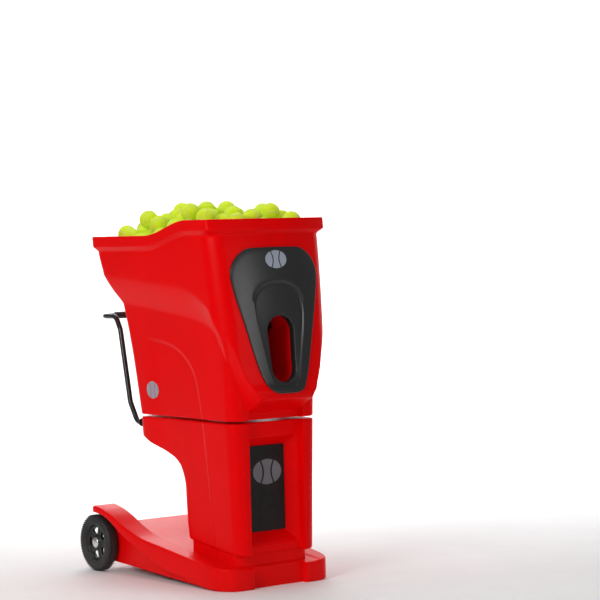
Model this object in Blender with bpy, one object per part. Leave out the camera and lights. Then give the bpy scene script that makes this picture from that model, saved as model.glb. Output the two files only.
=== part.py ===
"""Tennis ball machine: wheeled base, lower column, and a panning upper body with hopper and throwing head.
Metres, +Z up. The balls leave towards -Y and the wheels are at the rear, at +Y."""

import math

import bmesh
import bpy
from mathutils import Matrix, Vector

# --- shared sizes ---------------------------------------------------------------------------
WALL = 0.004  # moulded shell thickness
GAP = 0.0003  # between faces that meet
RUN = 0.0003  # radial clearance of a shaft in its bore
BALL_RADIUS = 0.0335  # of the balls that the feed and the throwing wheels are sized for

# --- wheels and axle ------------------------------------------------------------------------
WHEEL_RADIUS = 0.1016
TYRE_INNER = 0.071
WHEEL_WIDTH = 0.041
WHEEL_FACE = 0.2746  # outer face of the tyre from the middle plane
AXLE_RADIUS = 0.006
AXLE_Y = 0.371
AXLE_INSET = 0.0091  # its ends stand back from the outer face of the tyre
SPOKES = 5
CAP_RADIUS = 0.019

# --- base sled: (y, height) along the top edge of an arm, along the deck and under the fender --
SLED_TOP = [(-0.3975, 0.073), (-0.2525, 0.091), (-0.142, 0.107), (-0.0305, 0.124), (0.0955, 0.145),
            (0.1825, 0.174), (0.2725, 0.212), (0.33, 0.229), (0.375, 0.236), (0.385, 0.232)]
SLED_DECK = [(-0.3975, 0.069), (-0.2525, 0.086), (-0.142, 0.100), (-0.05, 0.112), (0.10, 0.128),
             (0.25, 0.150), (0.385, 0.165)]
SLED_ARCH = [(-0.32, 0.004), (-0.2505, 0.012), (-0.1455, 0.031), (-0.0575, 0.043), (0.0375, 0.073),
             (0.1565, 0.123), (0.22, 0.157), (0.2775, 0.190), (0.33, 0.207), (0.385, 0.213)]
SLED_WIDTH = [(-0.3975, 0.155), (-0.39, 0.187), (-0.37, 0.212), (-0.34, 0.229), (-0.30, 0.237),
              (-0.10, 0.246), (0.10, 0.258), (0.30, 0.270), (0.385, 0.270)]
SLED_FRONT = -0.3975
SLED_REAR = 0.385
SLED_BOX = 0.225  # half width of the box under the arms
ARM_INNER = 0.170  # inner edge of an arm
FOOT_REAR = -0.32  # the flat foot ends here and the underside rises
SLED_TAIL_HEIGHT = 0.040
NOTCH_HALF = 0.110  # front notch that runs up the base and the column
NOTCH_DEPTH = 0.025
NECK_INSET = 0.012

# --- column: lower housing -------------------------------------------------------------------
COLUMN_FRONT = -0.389
COLUMN_BOTTOM_FRONT = 0.112
COLUMN_BOTTOM_REAR = 0.150
COLUMN_REAR = [(0.150, -0.0505), (0.225, -0.0455), (0.330, -0.0455), (0.395, -0.026), (0.424, 0.0045),
               (0.448, 0.0665), (0.479, 0.171), (0.500, 0.2025), (0.564, 0.2025)]
COLUMN_HALF = [(0.112, 0.162), (0.564, 0.180)]
COLUMN_CORNER = 0.045
SEAM_LOW = 0.564
SEAM_HIGH = 0.572

RECESS_FACE = (0.105, 0.144, 0.513)  # half width, bottom, top at the notch face
RECESS_BACK = (0.075, 0.182, 0.482)
RECESS_DEPTH = 0.038
INSERT_THICK = 0.003

# --- upper housing ---------------------------------------------------------------------------
LOW_HALF = [(0.572, 0.180), (0.97, 0.197), (1.07, 0.215)]
LOW_REAR = [(0.572, 0.2025), (0.766, 0.2355), (0.97, 0.2815), (1.07, 0.310)]
POD_HALF = [(0.60, 0.190), (0.70, 0.205), (0.80, 0.215), (0.90, 0.222), (1.07, 0.232), (1.154, 0.2375),
            (1.172, 0.2495), (1.208, 0.2505)]
POD_REAR = [(0.97, 0.330), (1.07, 0.346), (1.154, 0.3725), (1.172, 0.394), (1.208, 0.394)]
POD_FRONT = [(0.60, -0.440), (0.640, -0.462), (0.668, -0.4665), (0.70, -0.456), (0.927, -0.428),
             (1.167, -0.3986), (1.204, -0.387), (1.222, -0.395), (1.258, -0.395)]
POD_BOW = 0.595  # front face moves back by this times x squared
POD_CORNER = [(0.60, 0.030), (1.07, 0.035), (1.172, 0.014), (1.208, 0.012)]
REAR_CORNER = 0.040
# height where the wide upper shape starts, along the side by y and across the front by x
CREASE_SIDE = [(-0.366, 0.783), (-0.321, 0.868), (-0.2335, 0.910), (-0.0485, 0.938), (0.1435, 0.959),
               (0.2815, 0.970)]
CREASE_FRONT = [(0.110, 0.606), (0.135, 0.652), (0.152, 0.697), (0.167, 0.742), (0.177, 0.772)]
CREASE_DEPTH = 0.100  # height of the slanted band
CHIN_DEPTH = 0.038
RIM_RISE = 0.050  # the rim steps up towards the front
RIM_RISE_FROM, RIM_RISE_TO = 0.024, -0.235
RIM_HEIGHT = 1.208
BAND_TOP = 0.97
UPPER_LEVELS = [0.606, 0.624, 0.644, 0.665, 0.685, 0.71, 0.735, 0.76, 0.79, 0.82, 0.855, 0.89, 0.93, 0.97,
                1.02, 1.07, 1.115, 1.154, 1.172, RIM_HEIGHT]

# --- bezel and exit ----------------------------------------------------------------------------
BEZEL_OUTLINE = [(0.668, 0.052), (0.680, 0.074), (0.695, 0.087), (0.745, 0.106), (0.810, 0.121),
                 (0.880, 0.138), (0.980, 0.165), (1.040, 0.178), (1.075, 0.182), (1.110, 0.170),
                 (1.135, 0.148), (1.150, 0.126), (1.160, 0.105)]
BEZEL_THICK = 0.006
BEZEL_GAP = 0.0012
BEZEL_LAND = 0.012  # rim of the opening behind the bezel
SLOT_BOTTOM, SLOT_TOP = 0.700, 0.927
SLOT_HALF_BOTTOM, SLOT_HALF_TOP = 0.050, 0.055
SLOT_DEPTH = 0.037
SLEEVE_WALL = 0.0035
SHROUD_REAR = -0.300

# --- pan, tilt and feed ------------------------------------------------------------------------
PAN_Y = -0.220
SPINDLE_RADIUS = 0.008
SPINDLE_FOOT = 0.520
PAN_MOTOR_FOOT = 0.455
BEARING_OUTER, BEARING_INNER = 0.140, 0.095
BEARING_THICK = 0.0033
TILT_Y, TILT_Z = -0.190, 0.800
TRUNNION_RADIUS = 0.008
THROW_RADIUS = 0.075
THROW_WIDTH = 0.050
THROW_NIP = 2 * BALL_RADIUS - 0.015  # between the two wheels, so that they squeeze a ball
STUB_RADIUS = 0.006
STUB_REACH = 0.052  # the wheel's shaft ends here, inside its motor
CHEEK_X = 0.036  # inner face of a carriage cheek
CHEEK_THICK = 0.004
CHEEK_EDGE = 0.021  # from a wheel's shaft to the end of the cheek
BRACKET_X = 0.124
BRACKET_THICK = 0.008
FLOOR_HEIGHT = 1.012
FLOOR_RIM = 1.062
FLOOR_CLEAR = 0.008  # between the carousel and the funnel
CAROUSEL_Y = 0.080
CAROUSEL_RADIUS = 0.152
CAROUSEL_HEIGHT = 0.034
POCKETS = 6
POCKET_RADIUS = BALL_RADIUS + 0.004
POCKET_CIRCLE = 0.112
DROP_RADIUS = BALL_RADIUS + 0.0045
DRIVE_SHAFT, DRIVE_BORE = 0.008, 0.0085

# --- heap of balls --------------------------------------------------------------------------------
HEAP_RIM, HEAP_TOP = 1.150, 1.332
HEAP_FALL = 0.030  # the rear of the heap is lower
HEAP_Y = -0.02
HEAP_CLEAR = 0.012  # to the hopper's wall
HEAP_THICK = 0.014

# --- handle --------------------------------------------------------------------------------------
TUBE_RADIUS = 0.0095
HANDLE_X = 0.160
HANDLE_ROUTE = [(0.152, 0.540), (0.2365, 0.540), (0.2805, 0.610), (0.335, 0.870), (0.3635, 0.917),
                (0.4575, 0.917)]
HANDLE_BEND = 0.035
BOSS_SIDE = 0.034  # solid corner that holds the end of the tube
BOSS_FRONT, BOSS_REAR = 0.146, 0.22

# --- control panel, in its own frame: x right, y up, z out of the face ------------------------------
PANEL_Z = 0.755
PANEL_TILT = math.radians(6)
PANEL_FACE_Y = 0.2775  # middle of the face
PANEL_TOP_HALF, PANEL_BOTTOM_HALF = 0.1047, 0.118
PANEL_HEIGHT = 0.185
PANEL_CORNER = 0.019
FACE_THICK = 0.003
PANEL_WALL = 0.003
PANEL_DEPTH = 0.085
# heights of the body's outline that is cut out of the panel's back
PANEL_BACK_LEVELS = (0.58, 0.62, 0.672, 0.745, 0.79, 0.84, 0.89, 0.93)
BUTTON_FIT = 0.0004
BUTTON_LOW, BUTTON_STAND = -0.0088, 0.0022
BOARD_LOW, BOARD_THICK = -0.0128, 0.0016
GRID_HALF = (0.013, 0.006)
SQUARE_CORNER = 0.0015
DISPLAY = (-0.0373, 0.0373, 0.0233, 0.0541)

GRID_X = (-0.0493, 0.0, 0.0493)
GRID_Y = (-0.0112, -0.0364, -0.0616)
GRID_NAMES = (("narrow", "sweep", "high_arc"), ("medium", "depth", "low_arc"), ("wide", "random", "mirror"))
ROUND_BUTTONS = {
    "menu_up": (-0.0519, 0.0517, 0.0075), "menu_down": (-0.0519, 0.0268, 0.0075),
    "setting_plus": (0.0519, 0.0517, 0.0075), "setting_minus": (0.0519, 0.0268, 0.0075),
    "remote": (-0.0955, -0.0337, 0.0083), "power": (-0.0972, -0.0639, 0.0083),
}
OVAL_BUTTONS = {"play": (0.0930, -0.0172, 0.0125, 0.0072), "manual": (0.0950, -0.0440, 0.0125, 0.0072)}
SQUARE_BUTTON = ("test", 0.0960, -0.0649, 0.0084)

AXIS_TURN = {"Z": (0, 0, 0), "X": (0, math.pi / 2, 0), "Y": (-math.pi / 2, 0, 0)}


# --- helpers -------------------------------------------------------------------------------------

def along(table, at):
    """Straight-line reading of a (position, value) table."""
    if at <= table[0][0]:
        return table[0][1]
    for (a, low), (b, high) in zip(table, table[1:]):
        if at <= b:
            return low + (high - low) * (at - a) / (b - a)
    return table[-1][1]


def clamp(value):
    return min(max(value, 0.0), 1.0)


def smooth(value):
    value = clamp(value)
    return value * value * (3 - 2 * value)


def finish(name, colour, roughness, metallic=0.0):
    made = bpy.data.materials.new(name)
    made.use_nodes = True
    shader = made.node_tree.nodes["Principled BSDF"]
    shader.inputs["Base Color"].default_value = (*colour, 1)
    shader.inputs["Roughness"].default_value = roughness
    shader.inputs["Metallic"].default_value = metallic
    return made


def add(name, bm, material, angle=30):
    """Turns a bmesh into an object with its faces pointing outwards."""
    bmesh.ops.recalc_face_normals(bm, faces=bm.faces)
    if bm.calc_volume(signed=True) < 0:
        bmesh.ops.reverse_faces(bm, faces=bm.faces)
    mesh = bpy.data.meshes.new(name)
    bm.to_mesh(mesh)
    bm.free()
    if material:
        mesh.materials.append(material)
    mesh.shade_smooth()
    mesh.set_sharp_from_angle(angle=math.radians(angle))
    made = bpy.data.objects.new(name, mesh)
    bpy.context.collection.objects.link(made)
    return made


def cutter(made):
    made.hide_render = True
    made.display_type = "WIRE"
    return made


def combine(target, other, operation):
    change = target.modifiers.new(operation.lower(), "BOOLEAN")
    change.operation = operation
    change.object = cutter(other)


def cut(target, *others):
    for other in others:
        combine(target, other, "DIFFERENCE")


def join(target, *others):
    for other in others:
        combine(target, other, "UNION")


def loft(name, rings, material=None, closed=False):
    """Skins rings of equal length. An open chain is capped, and a closed one returns to its start."""
    bm = bmesh.new()
    rows = [[bm.verts.new(point) for point in ring] for ring in rings]
    pairs = list(zip(rows, rows[1:]))
    if closed:
        pairs.append((rows[-1], rows[0]))
    for low, high in pairs:
        for i in range(len(low)):
            j = (i + 1) % len(low)
            bm.faces.new((low[i], low[j], high[j], high[i]))
    if not closed:
        bm.faces.new(rows[0][::-1])
        bm.faces.new(rows[-1])
    return add(name, bm, material)


def prism(name, outline, low, high, axis, material=None):
    """An outline of two coordinates, extruded along the remaining axis."""
    slot = "XYZ".index(axis)
    rings = []
    for height in (low, high):
        rings.append([(*point[:slot], height, *point[slot:]) for point in outline])
    return loft(name, rings, material)


def box(name, low, high, material=None):
    outline = [(low[0], low[1]), (high[0], low[1]), (high[0], high[1]), (low[0], high[1])]
    return prism(name, outline, low[2], high[2], "Z", material)


def turned(name, profile, steps, axis, place, material=None):
    """A closed (radius, height) profile turned about an axis through place."""
    bm = bmesh.new()
    columns = []
    for i in range(steps):
        turn = 2 * math.pi * i / steps
        columns.append([bm.verts.new((r * math.cos(turn), r * math.sin(turn), h)) for r, h in profile])
    for first, second in zip(columns, columns[1:] + columns[:1]):
        for i in range(len(profile)):
            j = (i + 1) % len(profile)
            if profile[i][0] or profile[j][0]:
                bm.faces.new((first[i], first[j], second[j], second[i]))
    bmesh.ops.remove_doubles(bm, verts=bm.verts, dist=1e-6)
    made = add(name, bm, material)
    made.location = place
    made.rotation_euler = AXIS_TURN[axis]
    return made


def rod(name, radius, low, high, axis, place, material=None, steps=24):
    return turned(name, [(0, low), (radius, low), (radius, high), (0, high)], steps, axis, place, material)


def ring_of(name, outer, inner, low, high, axis, place, material=None, steps=32):
    profile = [(inner, low), (outer, low), (outer, high), (inner, high)]
    return turned(name, profile, steps, axis, place, material)


def arc(centre, radius, start, end, steps):
    angles = [math.radians(start + (end - start) * i / steps) for i in range(steps + 1)]
    return [(centre[0] + radius * math.cos(a), centre[1] + radius * math.sin(a)) for a in angles]


def rounded(corners, radius, steps):
    """A convex outline with each corner rounded."""
    points = []
    for i, corner in enumerate(corners):
        here = Vector(corner)
        before = (Vector(corners[i - 1]) - here).normalized()
        after = (Vector(corners[(i + 1) % len(corners)]) - here).normalized()
        half = before.angle(after) / 2
        middle = here + (before + after).normalized() * radius / math.sin(half)
        start = here + before * radius / math.tan(half) - middle
        end = here + after * radius / math.tan(half) - middle
        sweep = start.angle_signed(end)
        for k in range(steps + 1):
            turn = Matrix.Rotation(-sweep * k / steps, 2)
            points.append(tuple(middle + turn @ start))
    return points


def oval(x, y, across, up, steps=12):
    angles = [2 * math.pi * i / steps for i in range(steps)]
    return [(x + across * math.cos(a), y + up * math.sin(a)) for a in angles]


# --- plan outlines of the housings ---------------------------------------------------------------

def half_outline(half, front, rear, corner, rear_corner):
    """Points (x, y) from the middle of the rear round +X to the middle of the front."""
    points = [(0.0, rear), ((half - rear_corner) * 0.55, rear)]
    points += arc((half - rear_corner, rear - rear_corner), rear_corner, 90, 0, 4)
    side_rear, side_front = rear - rear_corner, front + corner
    points += [(half, side_rear + (side_front - side_rear) * k / 8) for k in range(1, 8)]
    points += arc((half - corner, front + corner), corner, 0, -90, 4)
    points += [((half - corner) * k, front) for k in (0.82, 0.62, 0.42, 0.21)]
    return points + [(0.0, front)]


def mirrored(points):
    return points + [(-p[0], *p[1:]) for p in points[-2:0:-1]]


def crease_height(x, y):
    """Height where the wide upper shape starts at this place of the outline, and how tall its slope is."""
    if y > COLUMN_FRONT + COLUMN_CORNER * 0.5:
        return along(CREASE_SIDE, y), CREASE_DEPTH
    return along(CREASE_FRONT, x), CHIN_DEPTH + (CREASE_DEPTH - CHIN_DEPTH) * smooth((x - NOTCH_HALF) / 0.05)


def column_outline(height, inset=0.0, front_inset=0.0):
    """The narrow lower shape of the upper housing, which carries on from the column."""
    return half_outline(along(LOW_HALF, height) - inset, COLUMN_FRONT + inset + front_inset,
                        along(LOW_REAR, height) - inset, COLUMN_CORNER - inset, REAR_CORNER - inset)


def upper_ring(height, inset=0.0, front_inset=0.0):
    """Outline of the upper housing at a height measured at the rear."""
    rise = RIM_RISE * smooth((height - BAND_TOP) / (1.154 - BAND_TOP))
    low = column_outline(height, inset, front_inset)
    corner = along(POD_CORNER, height) + 2 * max(inset, 0)
    wide = half_outline(along(POD_HALF, height) - inset, along(POD_FRONT, height + rise) + inset,
                        along(POD_REAR, height) - inset, corner, REAR_CORNER - inset)
    points = []
    for (x_mark, y_mark), (xa, ya), (xb, yb) in zip(column_outline(height), low, wide):
        yb += POD_BOW * xb * xb * smooth((0.0 - yb) / 0.30)
        start, depth = crease_height(x_mark, y_mark)
        share = clamp((height - start - 4 * inset) / depth)
        x, y = xa + (xb - xa) * share, ya + (yb - ya) * share
        lift = rise * smooth((RIM_RISE_FROM - y) / (RIM_RISE_FROM - RIM_RISE_TO))
        points.append((x, y, height + lift))
    return mirrored(points)


def pod_face(x, z):
    """Y of the pod's front face."""
    return along(POD_FRONT, z) + POD_BOW * x * x


def column_ring(level, inset=0.0, front_inset=0.0):
    """Outline of the column at a level from 0 at its sloping bottom to 1 at the seam."""
    points = []
    mean = COLUMN_BOTTOM_REAR + (SEAM_LOW - COLUMN_BOTTOM_REAR) * level
    front = COLUMN_FRONT + inset + front_inset
    rear = along(COLUMN_REAR, mean) - inset
    half = along(COLUMN_HALF, mean) - inset
    foot = along(COLUMN_REAR, COLUMN_BOTTOM_REAR)
    tilt = (COLUMN_BOTTOM_REAR - COLUMN_BOTTOM_FRONT) * (1 - level)
    for x, y in half_outline(half, front, rear, COLUMN_CORNER - inset, REAR_CORNER - inset):
        away = clamp((foot - y) / (foot - COLUMN_FRONT))
        points.append((x, y, mean - tilt * away))
    return mirrored(points)


COLUMN_LEVELS = [(z - COLUMN_BOTTOM_REAR) / (SEAM_LOW - COLUMN_BOTTOM_REAR) for z, _ in COLUMN_REAR]


# --- base and column -------------------------------------------------------------------------------

def sled_underside(y):
    return SLED_TAIL_HEIGHT * clamp((y - FOOT_REAR) / (SLED_REAR - FOOT_REAR))


def sled_section(y):
    under = sled_underside(y)
    edge = along(SLED_WIDTH, y)
    side = min(SLED_BOX, edge - 0.006)
    arm = min(ARM_INNER, side - 0.02)
    arch = max(along(SLED_ARCH, y), under + 0.004)
    top, deck = along(SLED_TOP, y), along(SLED_DECK, y)
    half = [(0, under), (side, under), (side, arch), (edge, arch), (edge, top - 0.006), (edge - 0.006, top),
            (arm + 0.008, top), (arm, deck), (0, deck)]
    return [(x, y, z) for x, z in half] + [(-x, y, z) for x, z in half[-2:0:-1]]


def sled_hollow(y):
    """The open underside. Over the foot it stays above a closed floor."""
    edge = along(SLED_WIDTH, y)
    side = min(SLED_BOX, edge - 0.006) - WALL
    arm = min(ARM_INNER, side + WALL - 0.02) + 0.008
    bottom = WALL if y < FOOT_REAR else -0.010
    top, deck = along(SLED_TOP, y) - WALL, along(SLED_DECK, y) - WALL
    half = [(0, bottom), (side, bottom), (side, top), (arm, top), (arm - 0.006, deck), (0, deck)]
    return [(x, y, z) for x, z in half] + [(-x, y, z) for x, z in half[-2:0:-1]]


def neck_rings(inset, low, drop):
    """The plinth under the column, from low up to the column's sloping bottom."""
    outline = [(x, y, z - drop) for x, y, z in column_ring(0.0, inset, NOTCH_DEPTH - 0.004)]
    return [[(x, y, low) for x, y, _ in outline], outline]


def base_sled(red):
    stations = sorted({y for table in (SLED_TOP, SLED_WIDTH, SLED_DECK, SLED_ARCH) for y, _ in table
                       if SLED_FRONT <= y <= SLED_REAR})
    sled = loft("base_sled", [sled_section(y) for y in stations], red)
    join(sled, loft("cut_neck", neck_rings(NECK_INSET, 0.060, GAP)))
    inside = [y for y in stations if -0.366 < y < FOOT_REAR] + [FOOT_REAR - 0.001, FOOT_REAR + 0.001]
    inside += [y for y in stations if FOOT_REAR + 0.002 < y < AXLE_Y - 0.03] + [AXLE_Y - 0.024]
    cut(sled, loft("cut_sled_hollow", [sled_hollow(y) for y in sorted(inside)]))
    cut(sled, loft("cut_neck_hollow", neck_rings(NECK_INSET + WALL, 0.020, WALL + GAP)))
    cut(sled, box("cut_sled_notch", (-NOTCH_HALF, SLED_FRONT - 0.02, -0.02),
                  (NOTCH_HALF, SLED_FRONT + NOTCH_DEPTH, 0.2)))
    place = (0, AXLE_Y, WHEEL_RADIUS)
    cut(sled, rod("cut_axle_bore", AXLE_RADIUS + RUN, -0.3, 0.3, "X", place))
    return sled


def recess(name, grow):
    """The tapered pocket in the column's front, or with grow the space its wall takes."""
    face = COLUMN_FRONT + NOTCH_DEPTH
    depth = RECESS_DEPTH + grow
    slope = [(a - b) / RECESS_DEPTH for a, b in zip(RECESS_FACE, RECESS_BACK)]
    rings = []
    for y in (face - 0.006, face + depth):
        away = y - face
        half, low, high = (value - k * away for value, k in zip(RECESS_FACE, slope))
        half, low, high = half + grow, low - grow, high + grow
        rings.append([(-half, y, low), (half, y, low), (half, y, high), (-half, y, high)])
    return loft(name, rings)


def notch(name, grow, low, high):
    half, back = NOTCH_HALF + grow, COLUMN_FRONT + NOTCH_DEPTH + grow
    return box(name, (-half, COLUMN_FRONT - 0.03, low), (half, back, high))


def handle_bosses(name, grow):
    middle, inner = HANDLE_ROUTE[0][1], HANDLE_X - BOSS_SIDE / 2
    low, high = middle - BOSS_SIDE / 2, middle + BOSS_SIDE / 2
    bosses = []
    for side in (-1, 1):
        xs = sorted((side * inner, side * (inner + BOSS_SIDE + grow)))
        bosses.append(box(f"{name}_{side}", (xs[0], BOSS_FRONT, low), (xs[1], BOSS_REAR, high)))
    return bosses


def lower_housing(red):
    shell = loft("lower_housing", [column_ring(level) for level in COLUMN_LEVELS], red)
    floor_level = WALL / (SEAM_LOW - COLUMN_BOTTOM_REAR)
    levels = [floor_level] + COLUMN_LEVELS[1:-1] + [1 - floor_level]
    hollow = loft("cut_column_hollow", [column_ring(level, WALL) for level in levels])
    cut(hollow, recess("cut_recess_wall", WALL), notch("cut_notch_wall", WALL, 0.05, 0.6))
    cut(hollow, *handle_bosses("cut_boss", 0.03))
    cut(shell, notch("cut_notch", 0, 0.05, 0.6), recess("cut_recess", 0), hollow)
    cut(shell, rod("cut_pan_bore", SPINDLE_RADIUS + 0.004, 0.5, 0.6, "Z", (0, PAN_Y, 0)))
    start, height = HANDLE_ROUTE[0]
    for side in (-1, 1):
        place = (side * HANDLE_X, 0, height)
        cut(shell, rod(f"cut_socket_{side}", TUBE_RADIUS + RUN, start - GAP, 0.3, "Y", place, steps=16))
    wall = along(COLUMN_REAR, 0.28)
    cut(shell, box("cut_inlet", (-0.064, wall - 0.02, 0.263), (-0.016, wall + 0.02, 0.297)))
    cut(shell, box("cut_switch", (0.0245, wall - 0.02, 0.2645), (0.0555, wall + 0.02, 0.2955)))
    return shell


def front_insert(black):
    back = COLUMN_FRONT + NOTCH_DEPTH + RECESS_DEPTH
    half, low, high = RECESS_BACK
    edge = 0.0022
    outline = rounded([(-half + edge, low + edge), (half - edge, low + edge), (half - edge, high - edge),
                       (-half + edge, high - edge)], 0.006, 3)
    return prism("front_insert", outline, back - GAP - INSERT_THICK, back - GAP, "Y", black)


def bent(points, radius, steps=4):
    """A route with its corners rounded."""
    route = [Vector(points[0])]
    for before, here, after in zip(points, points[1:], points[2:]):
        before, here, after = Vector(before), Vector(here), Vector(after)
        back, ahead = (before - here).normalized(), (after - here).normalized()
        half = back.angle(ahead) / 2
        reach = min(radius / math.tan(half), (before - here).length * 0.48, (after - here).length * 0.48)
        start, end = here + back * reach, here + ahead * reach
        for k in range(steps + 1):
            t = k / steps
            route.append(start * (1 - t) ** 2 + here * 2 * t * (1 - t) + end * t * t)
    return route + [Vector(points[-1])]


def handle_tube(black):
    side = [(HANDLE_X, y, z) for y, z in HANDLE_ROUTE]
    points = bent(side + [(-x, y, z) for x, y, z in side[::-1]], HANDLE_BEND)
    curve = bpy.data.curves.new("handle_tube", "CURVE")
    curve.dimensions = "3D"
    curve.bevel_depth = TUBE_RADIUS
    curve.bevel_resolution = 2
    curve.use_fill_caps = True
    spline = curve.splines.new("POLY")
    spline.points.add(len(points) - 1)
    for target, point in zip(spline.points, points):
        target.co = (*point, 1)
    curve.materials.append(black)
    made = bpy.data.objects.new("handle_tube", curve)
    bpy.context.collection.objects.link(made)


def power_entry(black, red_rocker):
    """Appliance inlet and rocker switch in the column's rear wall."""
    wall = along(COLUMN_REAR, 0.28) + GAP
    inlet = box("power_inlet", (-0.0635, wall - 0.022, 0.2635), (-0.0165, wall + 0.001, 0.2965), black)
    join(inlet, box("cut_flange", (-0.069, wall, 0.258), (-0.011, wall + 0.003, 0.302)))
    cut(inlet, box("cut_inlet_socket", (-0.053, wall - 0.014, 0.270), (-0.027, wall + 0.01, 0.290)))
    frame = box("switch_frame", (0.025, wall - 0.018, 0.265), (0.055, wall + 0.001, 0.295), black)
    join(frame, box("cut_switch_flange", (0.021, wall, 0.261), (0.059, wall + 0.003, 0.299)))
    cut(frame, box("cut_switch_well", (0.029, wall - 0.014, 0.2685), (0.051, wall + 0.01, 0.2915)))
    outline = [(-0.0105, -0.0035), (0.0105, -0.0035), (0.0105, 0.0032), (0.0, 0.0022), (-0.0105, 0.0050)]
    rocker = prism("power_switch", [(y, z) for z, y in outline], -0.0105, 0.0105, "X", red_rocker)
    rocker.location = (0.040, wall - 0.002, 0.280)


def drive_in_column(steel, dark, grey):
    place = (0, PAN_Y, 0)
    low, high = SEAM_LOW + GAP, SEAM_LOW + GAP + BEARING_THICK
    ring_of("turntable_lower", BEARING_OUTER, BEARING_INNER, low, high, "Z", place, steel)
    top, bore = SEAM_LOW - WALL - 0.0005, SPINDLE_RADIUS + RUN
    profile = [(0, PAN_MOTOR_FOOT), (0.030, PAN_MOTOR_FOOT), (0.030, 0.530), (0.040, 0.530), (0.040, top),
               (bore, top), (bore, SPINDLE_FOOT - 0.005), (0, SPINDLE_FOOT - 0.005)]
    turned("pan_motor", profile, 28, "Z", place, dark)
    supply = box("power_supply", (-0.085, -0.285, 0.160), (0.085, -0.085, 0.250), grey)
    bevel = supply.modifiers.new("edges", "BEVEL")
    bevel.width = 0.004
    bevel.segments = 1


# --- wheels ------------------------------------------------------------------------------------------

def wheel(name, side, rubber, black, silver):
    middle = WHEEL_FACE - WHEEL_WIDTH / 2
    place = (side * middle, AXLE_Y, WHEEL_RADIUS)
    half, inner = WHEEL_WIDTH / 2, TYRE_INNER
    tread = [(inner, -half + 0.004), (inner + 0.006, -half), (WHEEL_RADIUS - 0.008, -half),
             (WHEEL_RADIUS, -half + 0.009)]
    tread += [(r, -h) for r, h in tread[::-1]]
    turned(f"{name}_tyre", tread, 32, "X", place, rubber)
    rim_radius = inner - GAP
    bore = AXLE_RADIUS + RUN
    lip = half - 0.004
    profile = [(bore, -0.0195), (0.016, -0.0195), (0.018, -0.006), (rim_radius - 0.010, -0.006),
               (rim_radius - 0.006, -lip), (rim_radius, -lip), (rim_radius, lip), (rim_radius - 0.006, lip),
               (rim_radius - 0.010, 0.006), (0.020, 0.006), (0.018, 0.012), (bore, 0.012)]
    if side < 0:
        profile = [(r, -h) for r, h in profile[::-1]]
    rim = turned(f"{name}_rim", profile, 32, "X", place, black)
    wedge = 23
    for k in range(SPOKES):
        turn = 360 * k / SPOKES
        inner_arc = arc((0, 0), 0.027, turn - wedge * 0.62, turn + wedge * 0.62, 1)
        outer_arc = arc((0, 0), 0.056, turn + wedge, turn - wedge, 3)
        window = prism(f"cut_{name}_window_{k}", inner_arc + outer_arc, -0.05, 0.05, "X")
        window.location = place
        cut(rim, window)
    top = 0.0085
    dome = [(0, 0), (CAP_RADIUS, 0), (CAP_RADIUS, 0.0015), (CAP_RADIUS * 0.8, top * 0.62),
            (CAP_RADIUS * 0.45, top * 0.92), (0, top)]
    start = middle + 0.012 + GAP
    if side < 0:
        dome = [(r, -h) for r, h in dome[::-1]]
    turned(f"{name}_cap", dome, 20, "X", (side * start, AXLE_Y, WHEEL_RADIUS), silver)


# --- upper body ---------------------------------------------------------------------------------------

def upper_housing(red):
    rings = [upper_ring(z) for z in [SEAM_HIGH] + UPPER_LEVELS]
    rings += [upper_ring(z, WALL, NOTCH_DEPTH) for z in UPPER_LEVELS[::-1]]
    rings.append(upper_ring(SEAM_HIGH + WALL, WALL, NOTCH_DEPTH))
    shell = loft("upper_housing", rings, red)
    cut(shell, notch("cut_upper_notch", 0, SEAM_HIGH - 0.01, 0.604))
    cut(shell, bezel_opening())
    cut(shell, rod("cut_spindle_bore", SPINDLE_RADIUS + GAP, 0.5, 0.6, "Z", (0, PAN_Y, 0)))
    return shell


def shield_rows(inset, shares):
    """(z, x values) rows across the bezel's outline."""
    low, high = BEZEL_OUTLINE[0][0] + inset, BEZEL_OUTLINE[-1][0] - inset
    levels = [low] + [z for z, _ in BEZEL_OUTLINE[1:-1] if low + 0.004 < z < high - 0.004] + [high]
    return [(z, [(along(BEZEL_OUTLINE, z) - inset) * share for share in shares]) for z in levels]


def bezel_plate(black):
    """The bezel's outline as a plate that follows the pod's face."""
    rings = []
    for z, row in shield_rows(0, (-1, -0.8, -0.55, -0.28, 0, 0.28, 0.55, 0.8, 1)):
        front = [(x, pod_face(x, z) - BEZEL_THICK, z) for x in row]
        rings.append(front + [(x, pod_face(x, z) - BEZEL_GAP, z) for x in row[::-1]])
    return loft("bezel", rings, black)


def bezel_opening():
    """Cuts the hole behind the bezel, which leaves a land all round."""
    rings = []
    for z, row in shield_rows(BEZEL_LAND, (-1, 0, 1)):
        rings.append([(x, -0.56, z) for x in row] + [(x, -0.36, z) for x in row[::-1]])
    return loft("cut_bezel_opening", rings)


def slot_outline(grow):
    """Tall slot with round ends, as (x, z)."""
    top, bottom = SLOT_HALF_TOP + grow, SLOT_HALF_BOTTOM + grow
    points = arc((0, SLOT_TOP - SLOT_HALF_TOP), top, 0, 180, 8)
    return points + arc((0, SLOT_BOTTOM + SLOT_HALF_BOTTOM), bottom, 180, 360, 8)


def bezel(black):
    plate = bezel_plate(black)
    outer = slot_outline(SLEEVE_WALL)
    ends = (-0.003, SLOT_DEPTH - BEZEL_THICK)
    rings = [[(x, along(POD_FRONT, z) + end, z) for x, z in outer] for end in ends]
    join(plate, loft("cut_sleeve", rings))
    cut(plate, prism("cut_slot", slot_outline(0), -0.6, -0.3, "Y"))
    return plate


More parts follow.
